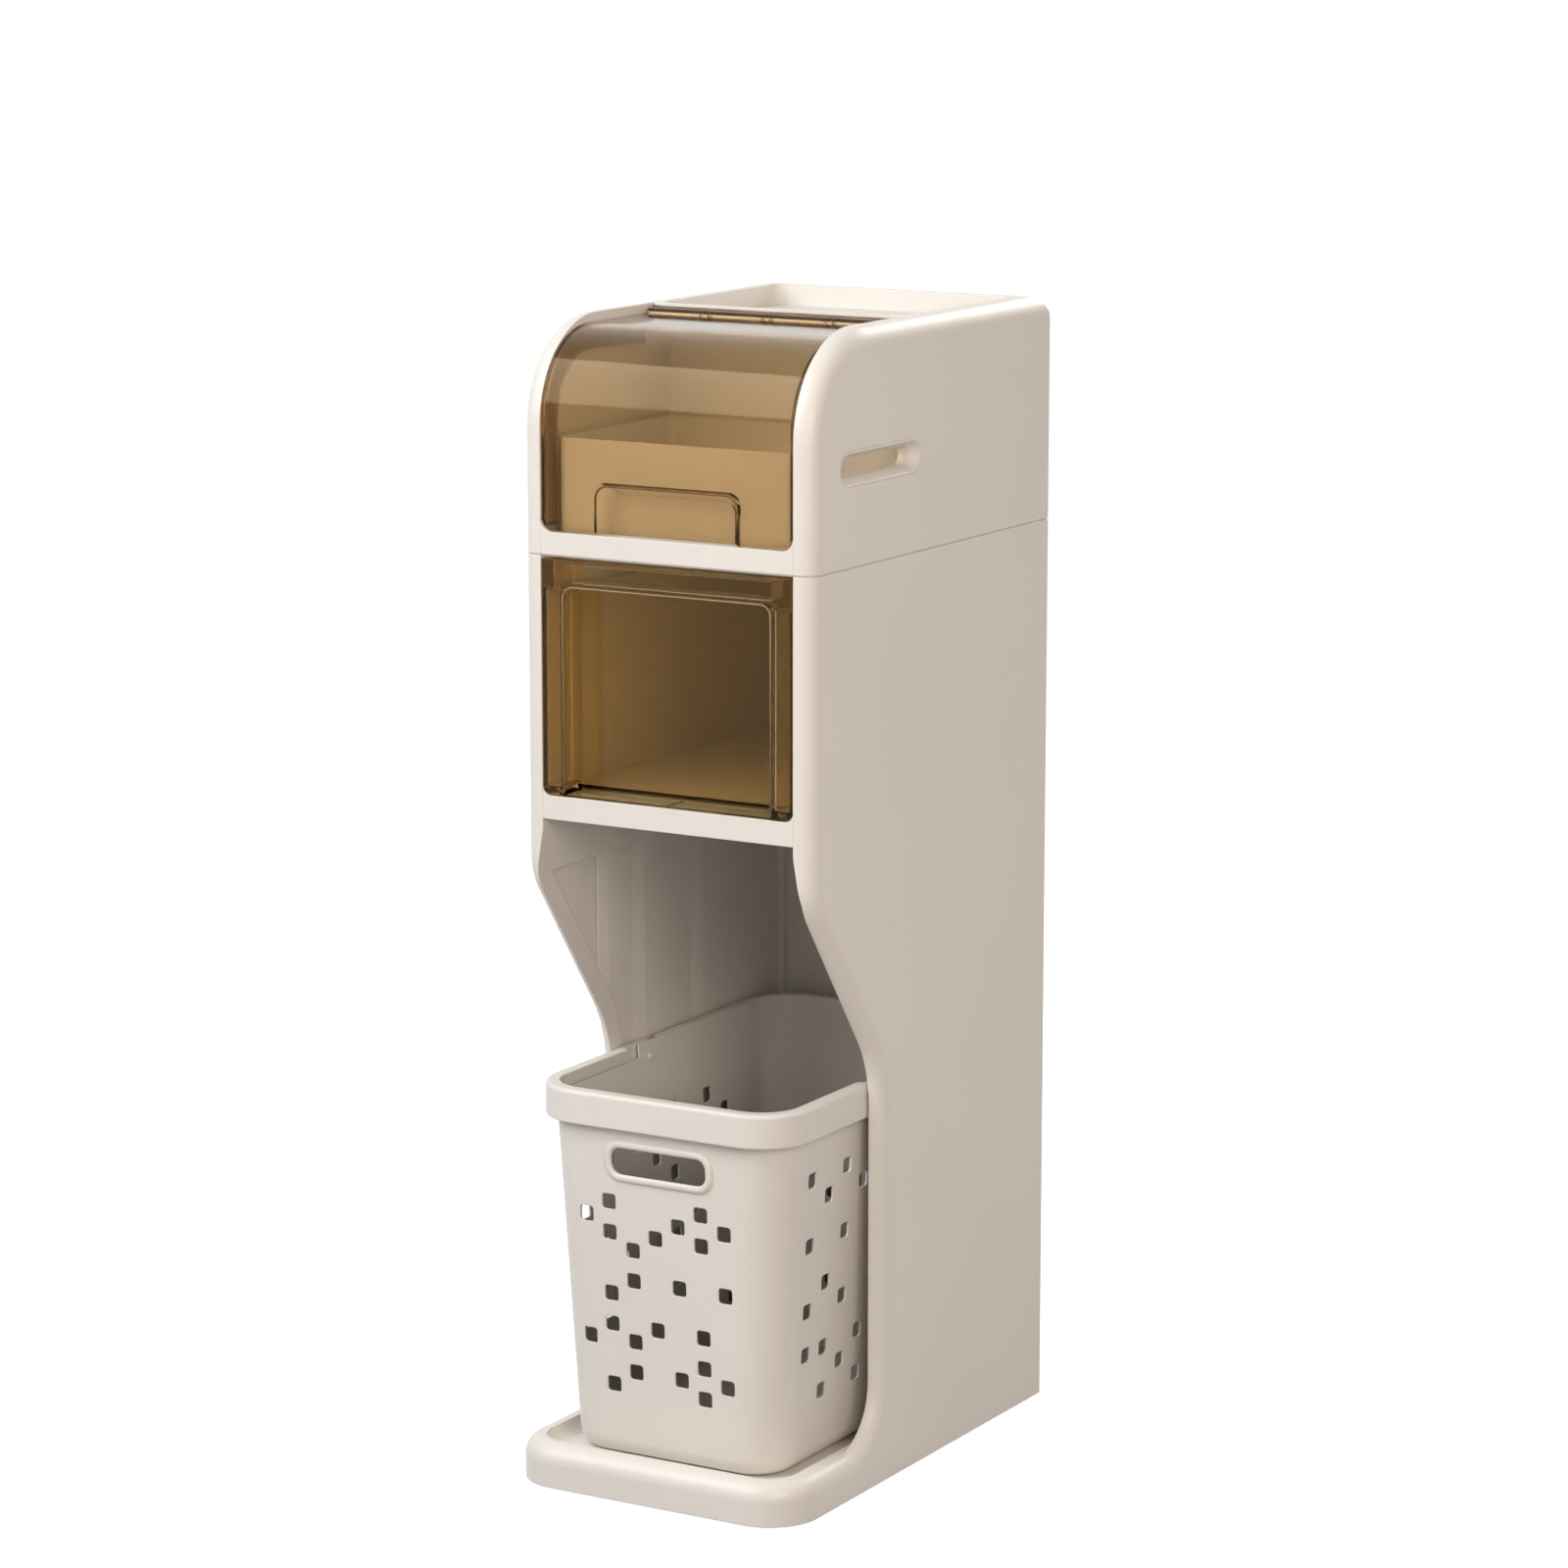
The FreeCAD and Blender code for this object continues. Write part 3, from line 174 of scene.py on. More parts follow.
floor_mesh = bpy.data.meshes.new("floor")
floor_corners = [(x * FLOOR_REACH, y * FLOOR_REACH, 0) for x, y in ((-1, -1), (1, -1), (1, 1), (-1, 1))]
floor_mesh.from_pydata(floor_corners, [], [(0, 1, 2, 3)])
floor_mesh.materials.append(floor_white())
floor = new_object("floor", floor_mesh)
print("floor", 2 * FLOOR_REACH, "m across")

# %% [markdown]
# The front is the bright side and the right-hand side is in soft shade, so the main lamp is a big softbox
# high on the left of the camera. A second, weaker softbox from the right only opens up the shade, and a
# third behind keeps the back from going dull when the model is turned round.

# %% Lamps
def softbox(name, place, aim, across, power, colour):
    """Square area lamp that looks at a point."""
    lamp = bpy.data.lights.new(name, "AREA")
    lamp.shape = "SQUARE"
    lamp.size = across
    lamp.energy = power
    lamp.color = colour
    holder = new_object(name, lamp)
    holder.location = place
    look_along(holder, Vector(aim) - Vector(place))


softbox("key", place=(-1.05, -1.65, 2.15), aim=(0, 0, 0.7), across=2.0, power=53, colour=(0.94, 0.97, 1.0))
softbox("fill", place=(1.7, -1.5, 1.2), aim=(0, 0, 0.55), across=1.1, power=21, colour=(1.0, 0.87, 0.76))
softbox("back", place=(0.2, 2.5, 1.7), aim=(0, 0, 0.45), across=1.2, power=34, colour=(1.0, 0.96, 0.92))
print("lamps", len(bpy.data.lights))

# %% [markdown]
# Every finish starts from the same few building blocks. The first ones are noise and colour. Noise is read
# in metres, so a moulded grain keeps its real size on a big panel and on a small clip. A picture of the
# plastic could do the same, but it would need to be unwrapped for each piece.

# %% Noise and colour
def speckle(tree, scale, detail):
    """Noise that keeps its size in metres on every piece."""
    place = tree.nodes.new("ShaderNodeTexCoord")
    noise = tree.nodes.new("ShaderNodeTexNoise")
    noise.inputs["Scale"].default_value = scale
    noise.inputs["Detail"].default_value = detail
    tree.links.new(place.outputs["Object"], noise.inputs["Vector"])
    return noise.outputs["Fac"]


def spread(tree, value, low, high, start=0.3, end=0.7):
    """Stretch a value over a range; noise lies mostly between the given start and end."""
    ramp = tree.nodes.new("ShaderNodeMapRange")
    ramp.inputs["From Min"].default_value = start
    ramp.inputs["From Max"].default_value = end
    ramp.inputs["To Min"].default_value = low
    ramp.inputs["To Max"].default_value = high
    tree.links.new(value, ramp.inputs["Value"])
    return ramp.outputs["Result"]


def mix_tones(tree, share, first, second):
    """Colour between two tones, each given as a colour or as the output of another node."""
    mix = tree.nodes.new("ShaderNodeMix")
    mix.data_type = "RGBA"
    tree.links.new(share, mix.inputs["Factor"])
    for socket, tone in (("A", first), ("B", second)):
        if isinstance(tone, tuple):
            mix.inputs[socket].default_value = (*tone, 1)
        else:
            tree.links.new(tone, mix.inputs[socket])
    return mix.outputs["Result"]


print("noise and colour ready")

# %% [markdown]
# The other building blocks look at the shape. The edge mask compares the true normal with one that a small
# ball would feel: they differ only along edges, which is where moulded plastic is polished by use. The
# painted hollow shade asks how much of the open air a point sees, and darkens the colour of what lies deep
# in the piece itself: shade painted into the colour.

# %% Edges, grain and hollows
EDGE_START = 0.75
EDGE_END = 0.99
HOLLOW_DEEP = 0.3
HOLLOW_DARK = 0.12
HOLLOW_LIGHT = 0.45


def soft_normal(tree, radius):
    """Normal that rounds each edge over a radius in metres."""
    bevel = tree.nodes.new("ShaderNodeBevel")
    bevel.samples = 6
    bevel.inputs["Radius"].default_value = radius
    return bevel.outputs["Normal"]


def edge_mask(tree, rounded):
    """Near zero on flat faces and near one along edges."""
    face = tree.nodes.new("ShaderNodeNewGeometry")
    dot = tree.nodes.new("ShaderNodeVectorMath")
    dot.operation = "DOT_PRODUCT"
    tree.links.new(face.outputs["Normal"], dot.inputs[0])
    tree.links.new(rounded, dot.inputs[1])
    return spread(tree, dot.outputs["Value"], 1.0, 0.0, EDGE_START, EDGE_END)


def grain(tree, height, rounded, depth, strength):
    """Bump from a height value on top of the rounded edges."""
    bump = tree.nodes.new("ShaderNodeBump")
    bump.inputs["Strength"].default_value = strength
    bump.inputs["Distance"].default_value = depth
    tree.links.new(height, bump.inputs["Height"])
    tree.links.new(rounded, bump.inputs["Normal"])
    return bump.outputs["Normal"]


def painted_hollow_shade(tree, colour, deep):
    """Painted shade: a darker colour deep inside a hollow, where less light reaches."""
    reach = tree.nodes.new("ShaderNodeAmbientOcclusion")
    reach.only_local = True
    reach.samples = 8
    reach.inputs["Distance"].default_value = HOLLOW_DEEP
    # painted shade: the less open air a point sees, the nearer its colour goes to the dark tone
    open_air = spread(tree, reach.outputs["AO"], 0, 1, HOLLOW_DARK, HOLLOW_LIGHT)
    return mix_tones(tree, open_air, deep, colour)


print("edges, grain and hollows ready")

# %% [markdown]
# The body is warm white polypropylene with a fine spark-eroded grain: it is satin, not glossy, and its
# colour drifts very slightly over a panel. Edges are a touch lighter from handling. The basket is the same
# plastic with a little less gloss, and deep inside it is darkened by painted shade. Each noise is a pair:
# scale and detail.

# %% Warm white plastic
PLASTIC_EDGE = 0.0011
PLASTIC_DRIFT = (7, 3)
PLASTIC_SATIN = (240, 4)
PLASTIC_GRAIN = (1500, 2)
GRAIN_DEEP = 0.00012
EDGE_LIGHTER = 1.05


def white_plastic(name, shade, light, gloss, grain_strength, inside=None):
    """Satin moulded plastic with a slow drift of colour, a fine grain, polished edges and, given an inside
    tone, painted shade in its hollows.
    """
    material, tree, shader = start_finish(name)
    rounded = soft_normal(tree, PLASTIC_EDGE)
    panel = mix_tones(tree, spread(tree, speckle(tree, *PLASTIC_DRIFT), 0, 1), shade, light)
    polished = tuple(min(1, tone * EDGE_LIGHTER) for tone in light)
    colour = mix_tones(tree, edge_mask(tree, rounded), panel, polished)
    # painted shade: deep in a hollow the colour goes towards the given inside tone
    if inside:
        colour = painted_hollow_shade(tree, colour, inside)
    tree.links.new(colour, shader.inputs["Base Color"])
    rough = spread(tree, speckle(tree, *PLASTIC_SATIN), gloss - 0.05, gloss + 0.06)
    tree.links.new(rough, shader.inputs["Roughness"])
    bumps = grain(tree, speckle(tree, *PLASTIC_GRAIN), rounded, GRAIN_DEEP, grain_strength)
    tree.links.new(bumps, shader.inputs["Normal"])
    shader.inputs["IOR"].default_value = 1.49
    shader.inputs["Subsurface Weight"].default_value = 0.06
    shader.inputs["Subsurface Radius"].default_value = (0.004, 0.003, 0.002)
    return material


shell_white = white_plastic("shell_white", shade=(0.775, 0.74, 0.69), light=(0.80, 0.765, 0.715),
                            gloss=0.36, grain_strength=0.25)
# the basket's inside tone is painted shade for the deep hollow of the tub
basket_white = white_plastic("basket_white", shade=(0.76, 0.725, 0.68), light=(0.79, 0.755, 0.705),
                             gloss=0.42, grain_strength=0.3, inside=(0.30, 0.282, 0.262))
print("white finishes", shell_white.name, basket_white.name)

# %% [markdown]
# The lid and the drawer are clear amber styrene. The tint is in the depth of the plastic, so thin walls
# look honey coloured and edges seen end-on look dark brown. That is what absorption in a volume does. The
# surface is glossy with very faint flow ripples. The lid is the deepest tint. The drawer front is lighter,
# and the drawer's box is lighter still and half milky: this lightness is painted light, for the glow inside
# the drawer. Two more tints are for the slim beads round the finger recesses, and the pale one is a painted
# highlight.

# %% Clear amber plastic
AMBER_EDGE = 0.0014
AMBER_GLOSS = (60, 3)
AMBER_RIPPLE = (45, 1)
RIPPLE_DEEP = 0.0002
RIPPLE_STRENGTH = 0.06
LID_HONEY = (0.84, 0.66, 0.34)
HONEY = (0.84, 0.64, 0.34)
BROWN = (0.7, 0.45, 0.2)


def amber_plastic(name, skin, tint, density, gloss, clear=1.0):
    """Clear plastic that colours light at its skin and by the length of its way through."""
    material, tree, shader = start_finish(name)
    shader.inputs["Base Color"].default_value = (*skin, 1)
    shader.inputs["Transmission Weight"].default_value = clear
    shader.inputs["IOR"].default_value = 1.5
    shader.inputs["Specular Tint"].default_value = (0.44, 0.35, 0.23, 1)
    rough = spread(tree, speckle(tree, *AMBER_GLOSS), gloss, gloss + 0.05)
    tree.links.new(rough, shader.inputs["Roughness"])
    rounded = soft_normal(tree, AMBER_EDGE)
    ripple = grain(tree, speckle(tree, *AMBER_RIPPLE), rounded, RIPPLE_DEEP, RIPPLE_STRENGTH)
    tree.links.new(ripple, shader.inputs["Normal"])
    depth = tree.nodes.new("ShaderNodeVolumeAbsorption")
    depth.inputs["Color"].default_value = (*tint, 1)
    depth.inputs["Density"].default_value = density
    tree.links.new(depth.outputs[0], tree.nodes["Material Output"].inputs["Volume"])
    return material


amber = amber_plastic("amber_clear", skin=(0.83, 0.72, 0.55), tint=LID_HONEY, density=110, gloss=0.04)
# painted light: the drawer's two ambers are lighter copies of the lid's, for the glow inside the drawer
painted_glow_drawer_amber = amber_plastic("painted_glow_drawer_amber", skin=(0.99, 0.87, 0.63), tint=HONEY, density=30, gloss=0.04)
painted_glow_box_amber = amber_plastic("painted_glow_box_amber", skin=(0.97, 0.80, 0.53), tint=HONEY, density=10, gloss=0.1,
                          clear=0.5)
edge_amber = amber_plastic("edge_amber", skin=(0.62, 0.42, 0.2), tint=BROWN, density=500, gloss=0.06)
# painted highlight: the pale amber of the drawer's recess bead
painted_highlight_amber = amber_plastic("painted_highlight_amber", skin=(0.62, 0.46, 0.27), tint=HONEY, density=40, gloss=0.2,
                           clear=0.4)
print("amber finishes", amber.name, painted_glow_drawer_amber.name, painted_glow_box_amber.name, edge_amber.name, painted_highlight_amber.name)

# %% [markdown]
# Two small finishes are left: the bright steel of the hinge rod, whose tone and gloss drift a little along
# it, and the dull dark rubber of the feet, which has a dusty grain.

# %% Steel and rubber
STEEL_TONE = (90, 4)
STEEL_GLOSS = (700, 3)
RUBBER_TONE = (160, 5)
RUBBER_GLOSS = (400, 3)
RUBBER_GRAIN = (900, 3)
RUBBER_EDGE = 0.0008


def drawn_steel():
    """Bright rod with a slight drift of tone and gloss."""
    material, tree, shader = start_finish("drawn_steel")
    shader.inputs["Metallic"].default_value = 1.0
    drift = spread(tree, speckle(tree, *STEEL_TONE), 0, 1)
    tone = mix_tones(tree, drift, (0.55, 0.55, 0.56), (0.68, 0.67, 0.66))
    tree.links.new(tone, shader.inputs["Base Color"])
    tree.links.new(spread(tree, speckle(tree, *STEEL_GLOSS), 0.22, 0.4), shader.inputs["Roughness"])
    return material


def foot_rubber():
    """Dull rubber with a dusty grain."""
    material, tree, shader = start_finish("foot_rubber")
    drift = spread(tree, speckle(tree, *RUBBER_TONE), 0, 1)
    tone = mix_tones(tree, drift, (0.025, 0.025, 0.027), (0.06, 0.058, 0.055))
    tree.links.new(tone, shader.inputs["Base Color"])
    tree.links.new(spread(tree, speckle(tree, *RUBBER_GLOSS), 0.7, 0.9), shader.inputs["Roughness"])
    rounded = soft_normal(tree, RUBBER_EDGE)
    dust = grain(tree, speckle(tree, *RUBBER_GRAIN), rounded, depth=0.0002, strength=0.4)
    tree.links.new(dust, shader.inputs["Normal"])
    return material


steel = drawn_steel()
rubber = foot_rubber()
print("small finishes", steel.name, rubber.name)

# %% [markdown]
# The solids whose shape is already right keep it and only change their finish. The record says which finish
# slot each node belongs to, so the list of nodes does not have to be written out again. The two pieces of
# the drawer share a slot with the lid, and get their own lighter ambers afterwards, which are painted light
# for the glow inside the drawer.

# %% Dress the solids
FINISHES = {"white_shell": shell_white, "basket_white": basket_white, "amber_clear": amber,
            "steel_pin": steel, "rubber_foot": rubber}


def dress(node, material):
    """Give a solid its finish in place of the plain one."""
    target = nodes[node].data
    target.materials.clear()
    target.materials.append(material)


for entry in frame["record"]["subparts"]:
    dress(entry["node"], FINISHES[entry["material_slot"]])
# painted light: the drawer's lighter ambers stand in for the glow inside it
dress("drawer_front", painted_glow_drawer_amber)
dress("drawer_box", painted_glow_box_amber)

# %% [markdown]
# The basket is an injection-moulded tub: flat walls that lean in towards the floor, big round upright
# corners and a generous turn into the floor. It could be cut from a box, but level rings of points,
# stacked from the floor to the rim and back down inside, give lean, corners and turn in one go.

# %% Rings and pieces
def bridge(bm, lower, upper):
    """Quads between two rows that have the same number of points."""
    count = len(lower)
    for i in range(count):
        j = (i + 1) % count
        bm.faces.new((lower[i], lower[j], upper[j], upper[i]))


def join_rings(bm, rings):
    """Rows of points, one for each ring, joined by quads."""
    rows = [[bm.verts.new(point) for point in ring] for ring in rings]
    for lower, upper in zip(rows, rows[1:]):
        bridge(bm, lower, upper)
    return rows


def new_piece(name, bm, material):
    """Object from mesh data, smooth all over, with its finish."""
    bmesh.ops.recalc_face_normals(bm, faces=bm.faces)
    mesh = bpy.data.meshes.new(name)
    bm.to_mesh(mesh)
    bm.free()
    mesh.shade_smooth()
    mesh.materials.append(material)
    return new_object(name, mesh)


def even_shading(piece):
    """Let the large flat faces lead the shading, so that soft edges do not darken them."""
    piece.modifiers.new("even", "WEIGHTED_NORMAL").keep_sharp = True


print("rings ready")

# %% [markdown]
# The tub itself is two stacks of rings in one. The outer stack starts with the turn at the floor and ends
# at the rim. The inner one is the same shape, smaller by the wall, and runs back down. Two big faces close
# the floor above and below.

# %% Basket tub
TUB_HALF = 0.1045
TUB_FRONT = -0.180
TUB_REAR = 0.170
TUB_LOW = 0.0243
TUB_TOP = 0.311
TUB_LEAN = 0.013
TUB_WALL = 0.0017
TUB_CORNER = 0.034
TUB_TURN = 0.014
TURN_STEPS = 6


def lean_at(z):
    """How far the walls have leaned in at a height."""
    return TUB_LEAN * (TUB_TOP - z) / (TUB_TOP - TUB_LOW)


def tub_ring(z, shrink, steps=10):
    """Level ring of the tub, counter-clockwise from the front right corner."""
    inward = lean_at(z) + shrink
    radius = TUB_CORNER - shrink
    x = TUB_HALF - inward - radius
    front = TUB_FRONT + inward + radius
    rear = TUB_REAR - inward - radius
    ring = []
    for number, (cx, cy) in enumerate(((x, front), (x, rear), (-x, rear), (-x, front))):
        for step in range(steps + 1):
            angle = math.radians(90 * (number - 1 + step / steps))
            ring.append((cx + radius * math.cos(angle), cy + radius * math.sin(angle), z))
    return ring


def turn_rings(shift, turn):
    """Rings of the round turn from the floor into the wall."""
    rings = []
    for step in range(TURN_STEPS + 1):
        angle = math.radians(90 * step / TURN_STEPS)
        z = TUB_LOW + shift + turn * (1 - math.cos(angle))
        rings.append(tub_ring(z, shift + turn * (1 - math.sin(angle))))
    return rings


outside = turn_rings(0, TUB_TURN) + [tub_ring(TUB_TOP, 0)]
inside = turn_rings(TUB_WALL, TUB_TURN - TUB_WALL) + [tub_ring(TUB_TOP, TUB_WALL)]
bm = bmesh.new()
rows = join_rings(bm, outside + inside[::-1])
bm.faces.new(rows[0][::-1])
bm.faces.new(rows[-1])
basket = new_piece("basket_tub", bm, basket_white)
print("tub", len(basket.data.polygons), "faces")

# %% [markdown]
# The walls are pierced by soft-cornered square holes in a loose, scattered pattern, and the front has a
# long grip. In the mould each hole is a pin. Here each is a prism that runs right through both opposite
# walls, and Blender's Boolean takes them away. First come the tools for that: an outline, a prism and a
# cut.

# %% Cutting tools
def soft_oblong(wide, tall, corner, steps=5):
    """Flat outline of a rectangle with round corners, counter-clockwise."""
    points = []
    for number, (sx, sy) in enumerate(((1, -1), (1, 1), (-1, 1), (-1, -1))):
        for step in range(steps + 1):
            angle = math.radians(90 * (number - 1 + step / steps))
            points.append((sx * (wide / 2 - corner) + corner * math.cos(angle),
                           sy * (tall / 2 - corner) + corner * math.sin(angle)))
    return points


def moved(outline, across, up):
    """Flat outline at its place on a wall."""
    return [(across + u, up + v) for u, v in outline]


def add_prism(bm, near, far):
    """Closed prism between two rings."""
    rows = join_rings(bm, (near, far))
    bm.faces.new(rows[0][::-1])
    bm.faces.new(rows[1])


def carve(piece, bm):
    """Take prisms away from a piece for good."""
    bmesh.ops.recalc_face_normals(bm, faces=bm.faces)
    mesh = bpy.data.meshes.new("cutter")
    bm.to_mesh(mesh)
    bm.free()
    cutter = new_object("cutter", mesh)
    step = piece.modifiers.new("carve", "BOOLEAN")
    step.object = cutter
    step.solver = "EXACT"
    ready = piece.evaluated_get(bpy.context.evaluated_depsgraph_get())
    carved = bpy.data.meshes.new_from_object(ready)
    piece.modifiers.clear()
    piece.data = carved
    bpy.data.objects.remove(cutter)


print("cutting tools ready")

# %% [markdown]
# The holes of the front are written as columns of row numbers, read off the wall from the left. The same
# cut takes out the grip, and lowers the rim ahead of the pivots to make room for the folded handle.

# %% Holes of the front and back
FRONT_HOLES = ((1, 9), (0, 2, 6, 8, 12), (3, 5, 9, 11), (2, 8), (1, 5, 11), (0, 2, 8, 10, 12), (1, 5, 11))
FRONT_MIDDLE = 3
FRONT_STEP = 0.020
FRONT_SHIFT = -0.005
FRONT_TOP = 0.226
HOLE = 0.012
HOLE_CORNER = 0.0025
GRIP_LEVEL = 0.259
GRIP_WIDE = 0.082
GRIP_TALL = 0.0205
GRIP_CORNER = 0.0075
GRIP_CUT_END = -0.1
LOW_RIM = 0.300
LOW_RIM_END = -0.040
RIM_CUT_TALL = 0.1
CUT_HALF = 0.2
CUT_DEEP = 0.25


def cut_front_and_back():
    """Prisms along Y: holes, grip and the lowered rim under the handle."""
    bm = bmesh.new()
    square = soft_oblong(HOLE, HOLE, HOLE_CORNER)
    for column, rows in enumerate(FRONT_HOLES):
        x = (column - FRONT_MIDDLE) * FRONT_STEP + FRONT_SHIFT
        for row in rows:
            ring = moved(square, x, FRONT_TOP - row * HOLE)
            add_prism(bm, [(u, -CUT_DEEP, v) for u, v in ring], [(u, CUT_DEEP, v) for u, v in ring])
    grip = moved(soft_oblong(GRIP_WIDE, GRIP_TALL, GRIP_CORNER), 0, GRIP_LEVEL)
    add_prism(bm, [(u, -CUT_DEEP, v) for u, v in grip], [(u, GRIP_CUT_END, v) for u, v in grip])
    block = ((-CUT_HALF, -CUT_DEEP), (CUT_HALF, -CUT_DEEP),
             (CUT_HALF, LOW_RIM_END), (-CUT_HALF, LOW_RIM_END))
    add_prism(bm, [(u, v, LOW_RIM) for u, v in block], [(u, v, LOW_RIM + RIM_CUT_TALL) for u, v in block])
    carve(basket, bm)


cut_front_and_back()
print("pierced front and back", len(basket.data.polygons), "faces")

# %% [markdown]
# The side walls have the same holes in ten columns, and their pattern repeats after five. They are cut in a
# pass of their own, which keeps these prisms from crossing those of the front. A narrow bevel then rolls
# every cut edge, and that gives the holes their pale lips.

# %% Holes of the sides
SIDE_HOLES = ((0, 3, 6, 8), (1, 5, 8, 10), (0, 3, 6, 9), (1, 8, 10), (2, 4, 6, 9))
SIDE_COLUMNS = 10
SIDE_START = -0.125
SIDE_STEP = 0.026
SIDE_TOP = 0.250
SIDE_DROP = 0.017
LIP_ROLL = 0.0008
LIP_STEPS = 3
LIP_ANGLE = 40


def cut_sides():
    """Prisms along X: the holes of both side walls."""
    bm = bmesh.new()
    square = soft_oblong(HOLE, HOLE, HOLE_CORNER)
    for column in range(SIDE_COLUMNS):
        y = SIDE_START + column * SIDE_STEP
        for row in SIDE_HOLES[column % len(SIDE_HOLES)]:
            ring = moved(square, y, SIDE_TOP - row * SIDE_DROP)
            add_prism(bm, [(-CUT_HALF, u, v) for u, v in ring], [(CUT_HALF, u, v) for u, v in ring])
    carve(basket, bm)


def roll_edges(piece):
    """Soft rolled edges that keep the flat walls flat."""
    roll = piece.modifiers.new("roll", "BEVEL")
    roll.width = LIP_ROLL
    roll.segments = LIP_STEPS
    roll.limit_method = "ANGLE"
    roll.angle_limit = math.radians(LIP_ANGLE)
    even_shading(piece)


cut_sides()
roll_edges(basket)
print("pierced tub", len(basket.data.polygons), "faces")

# %% [markdown]
# A raised collar runs round the grip so that fingers do not meet a sharp wall. It is a sweep: one small
# profile, carried round the hole. The profile is written as pairs of how far out from the edge of the hole
# and how far off the wall.

# %% Grip collar
COLLAR = ((0, -0.0019), (0, 0.0008), (0.0005, 0.0018), (0.0016, 0.0025), (0.0036, 0.0025), (0.0050, 0.0020),
          (0.0057, 0.0010), (0.0061, -0.0004))


def add_collar(bm):
    """Rolled collar that follows the lean of the front wall."""
    rings = []
    for grow, rise in COLLAR:
        outline = soft_oblong(GRIP_WIDE + 2 * grow, GRIP_TALL + 2 * grow, GRIP_CORNER + grow)
        rings.append([(u, TUB_FRONT + lean_at(z) - rise, z) for u, z in moved(outline, 0, GRIP_LEVEL)])
    rows = join_rings(bm, rings)
    bridge(bm, rows[-1], rows[0])


bm = bmesh.new()
add_collar(bm)
collar = new_piece("basket_grip_collar", bm, basket_white)
print("collar", len(collar.data.polygons), "faces")

# %% [markdown]
# The rim and the handle are sweeps too, along the top edge of the tub. A curve with a bevel could do it,
# but these profiles change on the way. So each stop on the line has a place and an outward direction, the
# profile is worked out anew at every stop, and the rings are joined as before.

# %% Sweeps along the rim
RIM_STEPS = 12


def soft_profile(corners, steps=4):
    """Closed profile of (out, up, radius) corners, each rounded unless its radius is zero."""
    points = []
    for i, (a, b, radius) in enumerate(corners):
        here = Vector((a, b))
        if radius == 0:
            points.append((here.x, here.y))
            continue
        before = (Vector(corners[i - 1][:2]) - here).normalized()
        after = (Vector(corners[(i + 1) % len(corners)][:2]) - here).normalized()
        start = here + before * radius
        end = here + after * radius
        for step in range(steps + 1):
            t = step / steps
            curve = start * (1 - t) ** 2 + here * 2 * t * (1 - t) + end * t ** 2
            points.append((curve.x, curve.y))
    return points


def rim_side(side, levels):
    """Stops along one straight side of the rim."""
    return [(Vector((side * TUB_HALF, y)), Vector((side, 0))) for y in levels]


def rim_corner(sx, sy, start):
    """Stops round one upright corner of the rim, from a starting angle."""
    cx = sx * (TUB_HALF - TUB_CORNER)
    cy = TUB_FRONT + TUB_CORNER if sy < 0 else TUB_REAR - TUB_CORNER
    stops = []
    for step in range(RIM_STEPS + 1):
        angle = math.radians(start + 90 * step / RIM_STEPS)
        out = Vector((math.cos(angle), math.sin(angle)))
        stops.append((Vector((cx, cy)) + out * TUB_CORNER, out))
    return stops


def add_sweep(bm, stops, profile_at):
    """Carry a profile along stops and close both ends."""
    rings = []
    for place, out in stops:
        profile = profile_at(place.y)
        rings.append([(place.x + out.x * a, place.y + out.y * a, b) for a, b in profile])
    rows = join_rings(bm, rings)
    bm.faces.new(rows[0])
    bm.faces.new(rows[-1][::-1])


print("sweeps ready")

# %% [markdown]
# Behind the handle the rim is fixed: a rounded band round the back of the tub. Where it starts, beside the
# round ends of the handle, it is thin, and it comes to its full depth within a few millimetres, so that no
# square end shows.

# %% Rear rim
RIM_OUT = 0.0065
RIM_LAP = 0.001
RIM_LOW = 0.3002
RIM_TOP = 0.3109
RIM_THIN = 0.35
RIM_GROW = 0.004
RIM_SOFT = 0.35
REAR_RIM_START = -0.008
REAR_STOPS = (REAR_RIM_START, -0.0068, -0.0056, -0.004, 0.06)


def rear_profile(y):
    """Rim band behind the handle, thinner where it starts."""
    out = RIM_OUT * min(1, RIM_THIN + (y - REAR_RIM_START) / RIM_GROW)
    soft = out * RIM_SOFT
    return soft_profile(((-RIM_LAP, RIM_LOW, 0), (out, RIM_LOW, soft / 2),
                         (out, RIM_TOP, soft), (-RIM_LAP, RIM_TOP, 0)))


rear_corners = rim_corner(1, 1, 0) + rim_corner(-1, 1, 90)
bm = bmesh.new()
add_sweep(bm, rim_side(1, REAR_STOPS) + rear_corners + rim_side(-1, REAR_STOPS[::-1]), rear_profile)
rear_rim = new_piece("basket_rear_rim", bm, basket_white)
print("rear rim", len(rear_rim.data.polygons), "faces")

# %% [markdown]
# The front of the rim is really the carrying handle, folded down: a broad U-shaped band with a lip that
# laps over the low front wall and round ends at the two pivots. It is one more sweep. Its profile has a
# lip only ahead of the pivots, and towards each end its height follows a half circle.

# %% Basket handle
PIVOT_Y = -0.025
PIVOT_Z = 0.298
END_ROUND = 0.013
END_ANGLES = (86, 75, 60, 45, 30, 15, 0)
HANDLE_STOPS = (-0.045, -0.055, -0.057, -0.059, -0.1)
HANDLE_LOW = 0.285
HANDLE_TOP = 0.311
HANDLE_OUT = 0.0075
HANDLE_IN = 0.0015
LIP_UNDER = 0.3003
LIP_REACH = 0.0035
LIP_END = -0.055
LIP_GROW = 0.004
LIP_LEAST = 0.0001
SOFT_FOOT = 0.0016
SOFT_TOP = 0.0036
SOFT_LIP = 0.0014
SOFT_INNER = 0.001
LIP_SHARE = 0.35
NOTCH_SHARE = 0.3


